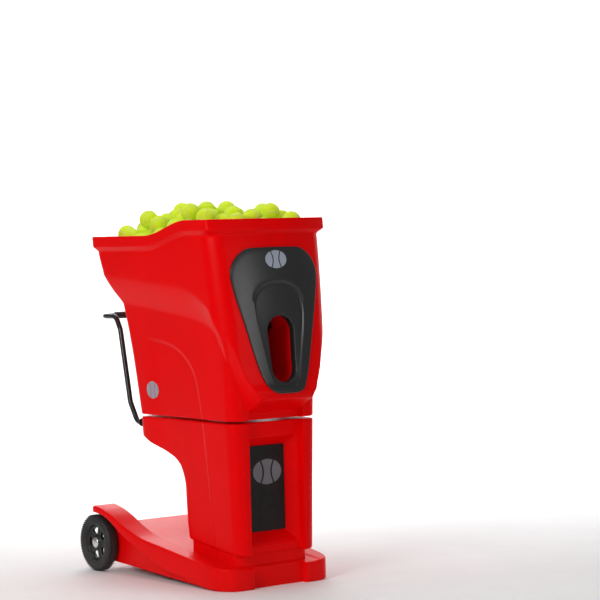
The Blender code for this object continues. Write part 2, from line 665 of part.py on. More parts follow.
def exit_shroud(red):
    rings = []
    for grow, at_front in ((0.0085, True), (0.0085, False), (0.0055, False), (0.0055, True)):
        ring = []
        for x, z in slot_outline(grow):
            front = along(POD_FRONT, z) + SLOT_DEPTH - BEZEL_THICK + 0.002
            ring.append((x, front if at_front else SHROUD_REAR, z))
        rings.append(ring)
    return loft("exit_shroud", rings, red, closed=True)


def hopper_floor(red):
    """A plate round the carousel's drive, with a funnel from its edge up to the hopper's wall."""
    outline = upper_ring(FLOOR_RIM, WALL + 0.0032)
    centre = Vector((0, CAROUSEL_Y))
    flat = CAROUSEL_RADIUS + FLOOR_CLEAR
    below = [(WALL, radius) for radius in (DRIVE_BORE, flat * 0.5, flat - 0.002, None)]
    above = [(0, radius) for radius in (None, flat, flat * 0.5, DRIVE_BORE)]
    rings = []
    for drop, radius in below + above:
        ring = []
        for x, y, z in outline:
            away = Vector((x, y)) - centre
            spot = centre + (away.normalized() * radius if radius else away * (1 - 1.5 * drop))
            ring.append((spot.x, spot.y, (FLOOR_HEIGHT if radius else z) - drop))
        rings.append(ring)
    plate = loft("hopper_floor", rings, red, closed=True)
    cut(plate, rod("cut_drop", DROP_RADIUS, 0.9, 1.1, "Z", (0, CAROUSEL_Y - POCKET_CIRCLE, 0)))
    return plate


def scallops():
    """Outline of the carousel: a disc with open pockets, one pocket at the front."""
    points = []
    mouth = math.degrees(math.asin(POCKET_RADIUS / CAROUSEL_RADIUS))
    pitch = 360 / POCKETS
    for k in range(POCKETS):
        middle = k * pitch - 90
        turn = Matrix.Rotation(math.radians(middle), 2)
        pocket = arc((POCKET_CIRCLE, 0), POCKET_RADIUS, 270, 90, 8)
        points += arc((0, 0), CAROUSEL_RADIUS, middle - pitch / 2, middle - mouth, 2)[:-1]
        edge = CAROUSEL_RADIUS * math.cos(math.radians(mouth))
        mouthed = [(edge, -POCKET_RADIUS)] + pocket + [(edge, POCKET_RADIUS)]
        points += [tuple(turn @ Vector(p)) for p in mouthed]
        points += arc((0, 0), CAROUSEL_RADIUS, middle + mouth, middle + pitch / 2, 2)[1:-1]
    return points


def carousel(black):
    low, high = FLOOR_HEIGHT + 0.0012, FLOOR_HEIGHT + 0.0012 + CAROUSEL_HEIGHT
    rotor = prism("carousel", scallops(), low, high, "Z", black)
    rotor.location = (0, CAROUSEL_Y, 0)
    hub = [(0, low - 0.030), (DRIVE_SHAFT, low - 0.030), (DRIVE_SHAFT, high - 0.01), (0.062, high - 0.01),
           (0.062, high + 0.002), (0.045, high + 0.020), (0.018, high + 0.050), (0, high + 0.054)]
    join(rotor, turned("cut_hub", hub, 24, "Z", (0, CAROUSEL_Y, 0)))
    return rotor


def feed_parts(dark, clear):
    ring_of("feed_tube", DROP_RADIUS + 0.003, DROP_RADIUS, 0.885, FLOOR_HEIGHT - WALL - GAP, "Z",
            (0, CAROUSEL_Y - POCKET_CIRCLE, 0), clear, 24)
    top = FLOOR_HEIGHT - WALL - GAP
    bore = DRIVE_SHAFT + RUN
    profile = [(0, top - 0.085), (0.025, top - 0.085), (0.025, top - 0.030), (0.034, top - 0.030),
               (0.034, top), (bore, top), (bore, top - 0.027), (0, top - 0.027)]
    turned("carousel_motor", profile, 24, "Z", (0, CAROUSEL_Y, 0), dark)


def pan_parts(steel):
    place = (0, PAN_Y, 0)
    low, high = SEAM_HIGH - GAP - BEARING_THICK, SEAM_HIGH - GAP
    ring_of("turntable_upper", BEARING_OUTER, BEARING_INNER, low, high, "Z", place, steel)
    floor = SEAM_HIGH + WALL
    profile = [(0, SPINDLE_FOOT), (SPINDLE_RADIUS, SPINDLE_FOOT), (SPINDLE_RADIUS, floor + GAP),
               (0.030, floor + GAP), (0.030, floor + 0.008), (0, floor + 0.008)]
    turned("pan_spindle", profile, 24, "Z", place, steel)


def cheek_outline():
    """Side plate of the throwing head about its tilt axis, as (y, z)."""
    reach = THROW_RADIUS + THROW_NIP / 2 + CHEEK_EDGE
    return rounded([(-0.024, -reach), (-0.024, reach), (0.034, reach), (0.034, 0.060), (0.108, 0.056),
                    (0.108, -0.056), (0.034, -0.060), (0.034, -reach)], 0.008, 1)


def throw_carriage(steel):
    """Two cheeks tied by two bars and a chute floor, with the trunnions on which it tilts."""
    place = (0, TILT_Y, TILT_Z)
    far = CHEEK_X + CHEEK_THICK
    frame = prism("throw_carriage", cheek_outline(), -far, far, "X", steel)
    frame.location = place
    width = CHEEK_X
    hollow = box("cut_between", (-width, -0.2, -0.2), (width, 0.2, 0.2))
    keep = [box("cut_bar_low", (-0.05, 0.086, -0.052), (0.05, 0.100, -0.040)),
            box("cut_bar_high", (-0.05, 0.086, 0.040), (0.05, 0.100, 0.052)),
            box("cut_chute", (-0.05, 0.052, -0.0395), (0.05, 0.101, -0.0365))]
    cut(hollow, *keep)
    hollow.location = place
    for piece in keep:
        piece.location = place
    cut(frame, hollow)
    for side in (-1, 1):
        ends = sorted((side * (far - 0.001), side * (BRACKET_X + BRACKET_THICK + 0.004)))
        join(frame, rod(f"cut_trunnion_{side}", TRUNNION_RADIUS, *ends, "X", place))
    for side in (-1, 1):
        offset = side * (THROW_RADIUS + THROW_NIP / 2)
        axis = (0, TILT_Y, TILT_Z + offset)
        cut(frame, rod(f"cut_stub_bore_{side}", STUB_RADIUS + RUN, -0.06, 0.06, "X", axis))
    return frame


def throw_wheel(name, side, rubber):
    place = (0, TILT_Y, TILT_Z + side * (THROW_RADIUS + THROW_NIP / 2))
    half = THROW_WIDTH / 2
    profile = [(0, -STUB_REACH), (STUB_RADIUS, -STUB_REACH), (STUB_RADIUS, -half - 0.004),
               (0.018, -half - 0.004), (0.022, -0.010), (THROW_RADIUS - 0.018, -0.010),
               (THROW_RADIUS - 0.014, -half), (THROW_RADIUS, -half), (THROW_RADIUS - 0.004, 0)]
    profile += [(r, -h) for r, h in profile[-2::-1]]
    return turned(name, profile, 24, "X", place, rubber)


def throw_motor(name, side, dark):
    place = (0, TILT_Y, TILT_Z + side * (THROW_RADIUS + THROW_NIP / 2))
    start = CHEEK_X + CHEEK_THICK + GAP
    bore = STUB_RADIUS + RUN
    end = STUB_REACH + 0.002
    profile = [(bore, start), (0.030, start), (0.030, start + 0.060), (0.020, start + 0.068),
               (0, start + 0.068), (0, end), (bore, end)]
    return turned(name, profile, 24, "X", place, dark)


def tilt_bracket(name, side, steel):
    low = SEAM_HIGH + WALL + GAP
    front, back = TILT_Y - 0.045, TILT_Y + 0.045
    outline = [(front, low), (back, low), (TILT_Y + 0.022, TILT_Z), (TILT_Y + 0.016, TILT_Z + 0.018),
               (TILT_Y, TILT_Z + 0.024), (TILT_Y - 0.016, TILT_Z + 0.018), (TILT_Y - 0.022, TILT_Z)]
    ends = sorted((side * BRACKET_X, side * (BRACKET_X + BRACKET_THICK)))
    plate = prism(name, outline, *ends, "X", steel)
    foot = sorted((side * (BRACKET_X - 0.024), side * (BRACKET_X + 0.004)))
    join(plate, box(f"cut_{name}_foot", (foot[0], front, low), (foot[1], back, low + 0.005)))
    cut(plate, rod(f"cut_{name}_bore", TRUNNION_RADIUS + RUN, -0.2, 0.2, "X", (0, TILT_Y, TILT_Z)))
    return plate


def tilt_motor(dark):
    start = BRACKET_X + BRACKET_THICK + GAP
    bore = TRUNNION_RADIUS + RUN
    profile = [(bore, start), (0.023, start), (0.023, start + 0.032), (0.018, start + 0.036),
               (0, start + 0.036), (0, start + 0.006), (bore, start + 0.006)]
    return turned("tilt_motor", profile, 24, "X", (0, TILT_Y, TILT_Z), dark)


def heap_ring(drop, share):
    """A ring of the heap's surface, from its rim at share 0 to its top at share 1."""
    centre = Vector((0, HEAP_Y))
    ring = []
    for x, y, z in upper_ring(HEAP_RIM, WALL + HEAP_CLEAR + drop):
        spot = centre + (Vector((x, y)) - centre) * max(1 - share, 0.02)
        top = HEAP_TOP - HEAP_FALL * smooth((spot.y + 0.20) / 0.30)
        rise = math.sin(share * math.pi / 2) ** 0.8
        ring.append((spot.x, spot.y, z + 0.004 + (top - drop - z) * rise))
    return ring


def ball_load(felt):
    """The heap of balls above the carousel: a domed blanket, open below."""
    shares = (0.0, 0.35, 0.75, 1.0)
    heap = loft("ball_load", [heap_ring(0.0, share) for share in shares], felt)
    hollow = [heap_ring(HEAP_THICK, share) for share in shares]
    hollow.insert(0, [(x, y, z - 0.03) for x, y, z in hollow[0]])
    cut(heap, loft("cut_heap_hollow", hollow))
    return heap


# --- control panel -------------------------------------------------------------------------------------

def panel_outline(inset):
    half = PANEL_HEIGHT / 2 - inset
    top, bottom = PANEL_TOP_HALF - inset, PANEL_BOTTOM_HALF - inset
    return rounded([(-bottom, -half), (bottom, -half), (top, half), (-top, half)], PANEL_CORNER - inset, 4)


def in_panel(made, frame):
    made.parent = frame
    return made


def button_list():
    """(name, place, half sizes) of each key. One half size alone is a square key's."""
    found = [(name, (x, y), (radius, radius)) for name, (x, y, radius) in ROUND_BUTTONS.items()]
    for names, y in zip(GRID_NAMES, GRID_Y):
        found += [(name, (x, y), GRID_HALF) for name, x in zip(names, GRID_X)]
    found += [(name, (x, y), (across, up)) for name, (x, y, across, up) in OVAL_BUTTONS.items()]
    name, x, y, half = SQUARE_BUTTON
    return found + [(name, (x, y), (half,))]


def button_outline(halves, grow=0.0):
    if len(halves) == 1:
        half = halves[0] + grow
        return rounded([(-half, -half), (half, -half), (half, half), (-half, half)], SQUARE_CORNER, 2)
    return oval(0, 0, halves[0] + grow, halves[1] + grow)


def window_outline(grow=0.0):
    x0, x1, y0, y1 = DISPLAY
    return [(x0 - grow, y0 - grow), (x1 + grow, y0 - grow), (x1 + grow, y1 + grow), (x0 - grow, y1 + grow)]


def control_panel(finishes):
    frame = bpy.data.objects.new("panel_frame", None)
    bpy.context.collection.objects.link(frame)
    lean, stand = math.sin(PANEL_TILT), math.cos(PANEL_TILT)
    upright = Matrix(((-1, 0, 0), (0, -lean, stand), (0, stand, lean)))
    frame.matrix_world = Matrix.Translation((0, PANEL_FACE_Y, PANEL_Z)) @ upright.to_4x4()
    back = -FACE_THICK

    pod = prism("panel_housing", panel_outline(0), -PANEL_DEPTH, back - GAP, "Z", finishes["black"])
    in_panel(pod, frame)
    pocket = in_panel(prism("cut_panel_pocket", panel_outline(PANEL_WALL), -0.014, 0.01, "Z"), frame)
    cut(pod, loft("cut_pod_back", [upper_ring(z, -2 * GAP) for z in PANEL_BACK_LEVELS]), pocket)

    face = prism("panel_face", panel_outline(0.0002), back, 0, "Z", finishes["silver"])
    in_panel(face, frame)
    cut(face, in_panel(prism("cut_display", window_outline(BUTTON_FIT), -0.01, 0.01, "Z"), frame))
    in_panel(prism("display_window", window_outline(), back, -0.0006, "Z", finishes["display"]), frame)
    board_high = BOARD_LOW + BOARD_THICK
    outline = panel_outline(PANEL_WALL + 0.001)
    in_panel(prism("control_board", outline, BOARD_LOW, board_high, "Z", finishes["board"]), frame)
    for name, (x, y), halves in button_list():
        hole = prism(f"cut_{name}_hole", button_outline(halves, BUTTON_FIT), -0.01, 0.01, "Z")
        in_panel(hole, frame).location = (x, y, 0)
        cut(face, hole)
        colour = finishes.get(name, finishes["black"])
        key = prism(f"button_{name}", button_outline(halves), BUTTON_LOW, BUTTON_STAND, "Z", colour)
        in_panel(key, frame).location = (x, y, 0)


def main():
    for old in list(bpy.data.objects):
        bpy.data.objects.remove(old, do_unlink=True)
    red = finish("red moulding", (0.72, 0.0, 0.003), 0.35)
    black = finish("black moulding", (0.02, 0.02, 0.022), 0.4)
    rubber = finish("tyre rubber", (0.016, 0.016, 0.017), 0.75)
    enamel = finish("black enamel", (0.012, 0.012, 0.012), 0.25)
    silver = finish("bright zinc", (0.7, 0.7, 0.7), 0.2, 1.0)
    steel = finish("plated steel", (0.55, 0.55, 0.57), 0.35, 1.0)
    dark = finish("motor case", (0.05, 0.05, 0.055), 0.45, 0.6)
    grey = finish("grey case", (0.22, 0.22, 0.23), 0.5)
    felt = finish("ball felt", (0.62, 0.80, 0.02), 0.9)
    wheel_rubber = finish("throwing tyre", (0.10, 0.10, 0.11), 0.6)

    base_sled(red)
    lower_housing(red)
    front_insert(black)
    handle_tube(enamel)
    axle_half = WHEEL_FACE - AXLE_INSET
    rod("axle", AXLE_RADIUS, -axle_half, axle_half, "X", (0, AXLE_Y, WHEEL_RADIUS), steel, 20)
    power_entry(black, finish("rocker", (0.5, 0.02, 0.02), 0.4))
    drive_in_column(steel, dark, grey)
    for name, side in (("wheel_left", -1), ("wheel_right", 1)):
        wheel(name, side, rubber, enamel, silver)

    upper_housing(red)
    bezel(black)
    exit_shroud(red)
    hopper_floor(red)
    carousel(black)
    feed_parts(dark, grey)
    pan_parts(steel)
    throw_carriage(steel)
    for name, side in (("upper", 1), ("lower", -1)):
        throw_wheel(f"throw_wheel_{name}", side, wheel_rubber)
        throw_motor(f"throw_motor_{name}", side, dark)
    for name, side in (("left", -1), ("right", 1)):
        tilt_bracket(f"tilt_bracket_{name}", side, steel)
    tilt_motor(dark)
    ball_load(felt)

    finishes = {
        "black": black, "play": grey, "manual": grey,
        "silver": finish("panel silver", (0.55, 0.56, 0.58), 0.4),
        "board": finish("board", (0.02, 0.14, 0.05), 0.5),
        "display": finish("display", (0.75, 0.78, 0.76), 0.15),
        "remote": finish("green key", (0.05, 0.55, 0.12), 0.4),
        "power": finish("red key", (0.75, 0.02, 0.03), 0.4),
        "test": finish("test key", (0.05, 0.6, 0.15), 0.4),
    }
    white = finish("white key", (0.85, 0.85, 0.85), 0.4)
    for name in ("menu_up", "menu_down", "setting_plus", "setting_minus"):
        finishes[name] = white
    control_panel(finishes)


main()
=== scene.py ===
# Tennis ball machine: the looks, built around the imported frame.
import math
import random

import bmesh
import bpy
import numpy as np
from mathutils import Matrix, Vector


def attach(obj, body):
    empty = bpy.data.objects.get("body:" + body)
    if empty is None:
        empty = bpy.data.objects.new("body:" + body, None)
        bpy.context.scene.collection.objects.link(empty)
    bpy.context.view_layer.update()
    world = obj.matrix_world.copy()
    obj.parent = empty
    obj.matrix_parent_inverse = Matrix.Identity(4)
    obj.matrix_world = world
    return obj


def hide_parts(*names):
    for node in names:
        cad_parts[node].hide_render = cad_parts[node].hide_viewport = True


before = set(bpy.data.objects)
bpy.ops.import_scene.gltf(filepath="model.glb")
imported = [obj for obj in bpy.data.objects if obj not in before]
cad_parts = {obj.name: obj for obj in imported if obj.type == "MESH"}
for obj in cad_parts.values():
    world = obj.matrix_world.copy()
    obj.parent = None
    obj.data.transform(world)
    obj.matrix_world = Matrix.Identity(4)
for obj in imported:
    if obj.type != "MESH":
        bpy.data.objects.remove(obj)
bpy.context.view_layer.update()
scene = bpy.context.scene
print("frame loaded")


# Small helpers.

def smoothStep(t):
    t = np.clip(t, 0.0, 1.0)
    return t * t * (3 - 2 * t)


# 0 to 1, straight in the middle and rounded over r at both ends.
def softRamp(t, r=0.12):
    t = np.asarray(t, float)

    def hinge(v):
        v = v / r
        return r * np.where(v <= -1, 0.0, np.where(v >= 1, v, (v + 1) ** 2 / 4))
    return hinge(t) - hinge(t - 1)


# Smooth reading of (position, value) points that never overshoots them.
def fairCurve(points):
    xs = np.array([p[0] for p in points], float)
    ys = np.array([p[1] for p in points], float)
    step = np.diff(xs)
    slope = np.diff(ys) / step
    tangent = np.zeros(len(xs))
    tangent[0], tangent[-1] = slope[0], slope[-1]
    for i in range(1, len(xs) - 1):
        if slope[i - 1] * slope[i] > 0:
            a, b = 2 * step[i] + step[i - 1], step[i] + 2 * step[i - 1]
            tangent[i] = (a + b) / (a / slope[i - 1] + b / slope[i])

    def read(at):
        at = np.clip(np.asarray(at, float), xs[0], xs[-1])
        i = np.clip(np.searchsorted(xs, at) - 1, 0, len(xs) - 2)
        t = (at - xs[i]) / step[i]
        return (ys[i] * (1 + 2 * t) * (1 - t) ** 2 + tangent[i] * step[i] * t * (1 - t) ** 2
                + ys[i + 1] * t * t * (3 - 2 * t) + tangent[i + 1] * step[i] * t * t * (t - 1))
    return read


def straightCurve(points):
    xs, ys = zip(*points)
    return lambda at: np.interp(at, xs, ys)


def linked(name, data):
    made = bpy.data.objects.new(name, data)
    scene.collection.objects.link(made)
    return made


# An object from a finished bmesh.
def fromBmesh(name, bm, materials=()):
    mesh = bpy.data.meshes.new(name)
    bm.to_mesh(mesh)
    bm.free()
    for material in materials:
        mesh.materials.append(material)
    return linked(name, mesh)


def newObject(name, verts, faces, material=None):
    mesh = bpy.data.meshes.new(name)
    mesh.from_pydata([tuple(map(float, v)) for v in verts], [], faces)
    mesh.validate()
    mesh.shade_smooth()
    if material:
        mesh.materials.append(material)
    return linked(name, mesh)


# Turns the faces outwards. A closed mesh also has its doubles merged.
def faceOut(obj, closed=True):
    bm = bmesh.new()
    bm.from_mesh(obj.data)
    if closed:
        bmesh.ops.remove_doubles(bm, verts=bm.verts, dist=1e-6)
    bmesh.ops.recalc_face_normals(bm, faces=bm.faces)
    if closed and bm.calc_volume(signed=True) < 0:
        bmesh.ops.reverse_faces(bm, faces=bm.faces)
    bm.to_mesh(obj.data)
    bm.free()
    return obj


def sharpen(obj, angle):
    obj.data.set_sharp_from_angle(angle=math.radians(angle))
    return obj


# Skins a list of equally long closed rings of points.
def ringSkin(name, rings, material=None, closed=False, sharp=None):
    count = len(rings[0])
    verts = [p for ring in rings for p in ring]
    faces = []
    pairs = [(k, k + 1) for k in range(len(rings) - 1)]
    if closed:
        pairs.append((len(rings) - 1, 0))
    for low, high in pairs:
        for i in range(count):
            j = (i + 1) % count
            faces.append((low * count + i, low * count + j, high * count + j, high * count + i))
    if not closed:
        faces.append(tuple(range(count))[::-1])
        faces.append(tuple((len(rings) - 1) * count + i for i in range(count)))
    made = faceOut(newObject(name, verts, faces, material))
    return sharpen(made, sharp) if sharp else made


# A rectangle's corners, moved out by grow.
def boxLoop(x0, y0, x1, y1, grow=0.0):
    return [(x0 - grow, y0 - grow), (x1 + grow, y0 - grow), (x1 + grow, y1 + grow), (x0 - grow, y1 + grow)]


# Replaces an object's mesh with its evaluated one.
def bakeModifiers(obj):
    graph = bpy.context.evaluated_depsgraph_get()
    mesh = bpy.data.meshes.new_from_object(obj.evaluated_get(graph))
    obj.modifiers.clear()
    obj.data = mesh
    return obj


def cutAway(obj, *cutters, operation="DIFFERENCE"):
    for cutter in cutters:
        change = obj.modifiers.new("cut", "BOOLEAN")
        change.operation = operation
        change.object = cutter
    bakeModifiers(obj)
    for cutter in cutters:
        bpy.data.objects.remove(cutter)
    return obj


def arcPoints(cx, cy, radius, start, end, steps):
    turn = np.radians(np.linspace(start, end, steps + 1))
    return [(cx + radius * math.cos(a), cy + radius * math.sin(a)) for a in turn]


# Closes a half ring of (x, y, z) rows that runs from one middle point to the other.
def mirrorRing(half):
    other = half[-2:0:-1].copy()
    other[:, 0] *= -1
    return np.vstack([half, other])


# Camera, floor and light.

cameraFacts = {"place": (-4.5015, -6.5686, 1.224), "heading": 36.76, "down": 1.854, "roll": 1.404,
               "lens": 134.65, "sensor": 36, "reach": 60}


def placeCamera():
    data = bpy.data.cameras.new("camera")
    camera = linked("camera", data)
    heading, down, roll = (math.radians(cameraFacts[k]) for k in ("heading", "down", "roll"))
    ahead = Vector((math.sin(heading) * math.cos(down), math.cos(heading) * math.cos(down),
                    -math.sin(down)))
    right = Vector((math.cos(heading), -math.sin(heading), 0))
    up = right.cross(ahead)
    across = right * math.cos(roll) - up * math.sin(roll)
    upward = right * math.sin(roll) + up * math.cos(roll)
    turn = Matrix((across, upward, -ahead)).transposed().to_4x4()
    camera.matrix_world = Matrix.Translation(cameraFacts["place"]) @ turn
    data.lens, data.sensor_width, data.clip_end = (cameraFacts[k] for k in ("lens", "sensor", "reach"))
    scene.camera = camera


lightFacts = {
    "key": {"place": (-4.2, -1.6, 2.6), "aim": (0, 0, 0.7), "size": 2.0, "power": 98,
            "colour": (1, 0.99, 0.97)},
    "front": {"place": (1.2, -5.2, 1.6), "aim": (0, 0, 0.9), "size": 1.1, "power": 24},
    "top": {"place": (0.2, 0.4, 4.4), "aim": (0, 0, 0.4), "size": 3.0, "power": 66},
    "rear": {"place": (1.6, 3.8, 2.4), "aim": (0, 0.1, 0.7), "size": 2.0, "power": 34,
             "colour": (0.97, 0.98, 1)},
    "side": {"place": (4.0, 0.2, 1.8), "aim": (0, 0, 0.7), "size": 2.2, "power": 16},
    "backdrop": {"place": (2.4, 3.0, 4.5), "aim": (4.6, 6.3, 1.0), "size": 5.0, "power": 420},
}


worldStrength = 0.24


def placeLights():
    for name, fact in lightFacts.items():
        data = bpy.data.lights.new(name, "AREA")
        data.energy, data.size, data.color = fact["power"], fact["size"], fact.get("colour", (1, 1, 1))
        lamp = linked(name, data)
        lamp.location = fact["place"]
        lamp.rotation_euler = (Vector(fact["aim"]) - lamp.location).to_track_quat("-Z", "Y").to_euler()
    world = bpy.data.worlds.new("studio")
    world.use_nodes = True
    back = world.node_tree.nodes["Background"]
    back.inputs["Color"].default_value = (1, 1, 1, 1)
    back.inputs["Strength"].default_value = worldStrength
    scene.world = world
    scene.view_settings.view_transform = "Standard"


# A floor that curves up into a backdrop far behind.
def placeFloor(material):
    rows = [(-7.0, 0.0), (-3.0, 0.0), (0.0, 0.0), (4.0, 0.0), (6.0, 0.15), (7.2, 0.8), (7.8, 2.0),
            (8.0, 4.0), (8.0, 7.0)]
    verts = [(x, y, z) for y, z in rows for x in (-9, 9)]
    faces = [(2 * k, 2 * k + 1, 2 * k + 3, 2 * k + 2) for k in range(len(rows) - 1)]
    floor = newObject("studioFloor", verts, faces, material)
    floor.rotation_euler = (0, 0, -math.radians(cameraFacts["heading"]))


# Shared shader groups.

def groupWith(name, inputs, outputs):
    group = bpy.data.node_groups.new(name, "ShaderNodeTree")
    for label, kind, value in inputs:
        made = group.interface.new_socket(name=label, in_out="INPUT", socket_type=kind)
        if value is not None:
            made.default_value = value
    for label, kind in outputs:
        group.interface.new_socket(name=label, in_out="OUTPUT", socket_type=kind)
    return group, group.nodes.new("NodeGroupInput"), group.nodes.new("NodeGroupOutput")


# Gives a socket a number, a colour or a link from another socket.
def feed(tree, socket, value):
    if isinstance(value, bpy.types.NodeSocket):
        tree.links.new(value, socket)
    else:
        socket.default_value = (*value, 1) if isinstance(value, tuple) else value


def noiseNode(tree, vector, scale, detail=3.0, rough=0.55):
    noise = tree.nodes.new("ShaderNodeTexNoise")
    for label, value in (("Vector", vector), ("Scale", scale), ("Detail", detail), ("Roughness", rough)):
        feed(tree, noise.inputs[label], value)
    return noise.outputs["Fac"]


def mathNode(tree, kind, a, b, clamp=False):
    node = tree.nodes.new("ShaderNodeMath")
    node.operation = kind
    node.use_clamp = clamp
    feed(tree, node.inputs[0], a)
    feed(tree, node.inputs[1], b)
    return node.outputs[0]


def rangeNode(tree, value, low, high, toLow=0.0, toHigh=1.0):
    node = tree.nodes.new("ShaderNodeMapRange")
    for label, given in (("Value", value), ("From Min", low), ("From Max", high), ("To Min", toLow),
                         ("To Max", toHigh)):
        feed(tree, node.inputs[label], given)
    return node.outputs["Result"]


def mixColour(tree, share, a, b):
    node = tree.nodes.new("ShaderNodeMix")
    node.data_type = "RGBA"
    for socket, value in ((0, share), (6, a), (7, b)):
        feed(tree, node.inputs[socket], value)
    return node.outputs[2]


def bumpNode(tree, height, strength, distance):
    node = tree.nodes.new("ShaderNodeBump")
    for label, value in (("Height", height), ("Strength", strength), ("Distance", distance)):
        feed(tree, node.inputs[label], value)
    return node.outputs["Normal"]


skinOutputs = [("Colour", "NodeSocketColor"), ("Roughness", "NodeSocketFloat"),
               ("Normal", "NodeSocketVector")]


# Moulded plastic: cloudy tone, faint grain, rubbed patches and dust close to the floor.
def moulderGroup():
    group, given, out = groupWith("mouldedSkin", [
        ("Place", "NodeSocketVector", None), ("Colour", "NodeSocketColor", (0.5, 0.5, 0.5, 1)),
        ("Deep Colour", "NodeSocketColor", (0.3, 0.3, 0.3, 1)), ("Grain Scale", "NodeSocketFloat", 900.0),
        ("Grain Height", "NodeSocketFloat", 0.15), ("Gloss Low", "NodeSocketFloat", 0.3),
        ("Gloss High", "NodeSocketFloat", 0.42), ("Dust", "NodeSocketFloat", 0.3)], skinOutputs)
    had = given.outputs
    place = had["Place"]
    cloud = noiseNode(group, place, 5.0, 4.0)
    grain = noiseNode(group, place, had["Grain Scale"], 2.0)
    rub = noiseNode(group, place, 38.0, 5.0, 0.7)
    tone = mixColour(group, rangeNode(group, cloud, 0.35, 0.65), had["Colour"], had["Deep Colour"])
    split = group.nodes.new("ShaderNodeSeparateXYZ")
    group.links.new(place, split.inputs[0])
    low = rangeNode(group, split.outputs["Z"], 0.0, 0.16, 1.0, 0.0)
    dust = mathNode(group, "MULTIPLY", mathNode(group, "MULTIPLY", low, rub), had["Dust"], clamp=True)
    patches = rangeNode(group, rub, 0.40, 0.68, had["Gloss Low"], had["Gloss High"])
    rough = mathNode(group, "ADD", patches, mathNode(group, "MULTIPLY", dust, 0.6), clamp=True)
    feed(group, out.inputs["Colour"], mixColour(group, dust, tone, (0.35, 0.31, 0.27)))
    feed(group, out.inputs["Roughness"], rough)
    feed(group, out.inputs["Normal"], bumpNode(group, grain, had["Grain Height"], 0.0004))
    return group


# Metal and enamel: fine draw lines or orange peel and a few rubbed spots.
def metalGroup():
    group, given, out = groupWith("metalSkin", [
        ("Place", "NodeSocketVector", None), ("Colour", "NodeSocketColor", (0.5, 0.5, 0.5, 1)),
        ("Worn Colour", "NodeSocketColor", (0.6, 0.6, 0.6, 1)),
        ("Stretch", "NodeSocketVector", (1.0, 1.0, 1.0)),
        ("Fine Scale", "NodeSocketFloat", 400.0), ("Fine Height", "NodeSocketFloat", 0.1),
        ("Gloss Low", "NodeSocketFloat", 0.25), ("Gloss High", "NodeSocketFloat", 0.4),
        ("Wear", "NodeSocketFloat", 0.2)], skinOutputs)
    had = given.outputs
    stretch = group.nodes.new("ShaderNodeVectorMath")
    stretch.operation = "MULTIPLY"
    group.links.new(had["Place"], stretch.inputs[0])
    group.links.new(had["Stretch"], stretch.inputs[1])
    fine = noiseNode(group, stretch.outputs[0], had["Fine Scale"])
    spots = noiseNode(group, had["Place"], 60.0, 5.0, 0.7)
    worn = mathNode(group, "MULTIPLY", rangeNode(group, spots, 0.52, 0.72), had["Wear"], clamp=True)
    feed(group, out.inputs["Colour"], mixColour(group, worn, had["Colour"], had["Worn Colour"]))
    feed(group, out.inputs["Roughness"],
         rangeNode(group, fine, 0.3, 0.7, had["Gloss Low"], had["Gloss High"]))
    feed(group, out.inputs["Normal"], bumpNode(group, fine, had["Fine Height"], 0.0003))
    return group


skinGroups = {"mould": moulderGroup(), "metal": metalGroup()}


def startMaterial(name):
    material = bpy.data.materials.new(name)
    material.use_nodes = True
    tree = material.node_tree
    shader = tree.nodes["Principled BSDF"]
    place = tree.nodes.new("ShaderNodeTexCoord").outputs["Object"]
    return material, tree, shader, place


# A material on one of the shared groups. settings go to the group and fixed to the shader's own sockets.
def skinMaterial(name, kind, colour, settings, fixed=None):
    material, tree, shader, place = startMaterial(name)
    group = tree.nodes.new("ShaderNodeGroup")
    group.node_tree = skinGroups[kind]
    tree.links.new(place, group.inputs["Place"])
    group.inputs["Colour"].default_value = (*colour, 1)
    for label, value in settings.items():
        group.inputs[label].default_value = (*value, 1) if "Colour" in label else value
    for label, socket in (("Colour", "Base Color"), ("Roughness", "Roughness"), ("Normal", "Normal")):
        tree.links.new(group.outputs[label], shader.inputs[socket])
    for label, value in (fixed or {}).items():
        shader.inputs[label].default_value = value
    return material


def plasticMaterial(name, colour, deep=None, gloss=(0.30, 0.42), grain=(900, 0.15), dust=0.0, **fixed):
    deep = deep or tuple(c * 0.85 for c in colour)
    return skinMaterial(name, "mould", colour, {
        "Deep Colour": deep, "Gloss Low": gloss[0], "Gloss High": gloss[1], "Grain Scale": float(grain[0]),
        "Grain Height": grain[1], "Dust": dust},
        {label.replace("_", " "): value for label, value in fixed.items()})


def metalMaterial(name, colour, worn=None, gloss=(0.25, 0.40), fine=(400, 0.1), stretch=(1, 1, 1),
                  wear=0.2, metallic=1.0):
    worn = worn or tuple(min(c * 1.3, 1) for c in colour)
    return skinMaterial(name, "metal", colour, {
        "Worn Colour": worn, "Gloss Low": gloss[0], "Gloss High": gloss[1], "Fine Scale": float(fine[0]),
        "Fine Height": fine[1], "Stretch": stretch, "Wear": wear}, {"Metallic": metallic})


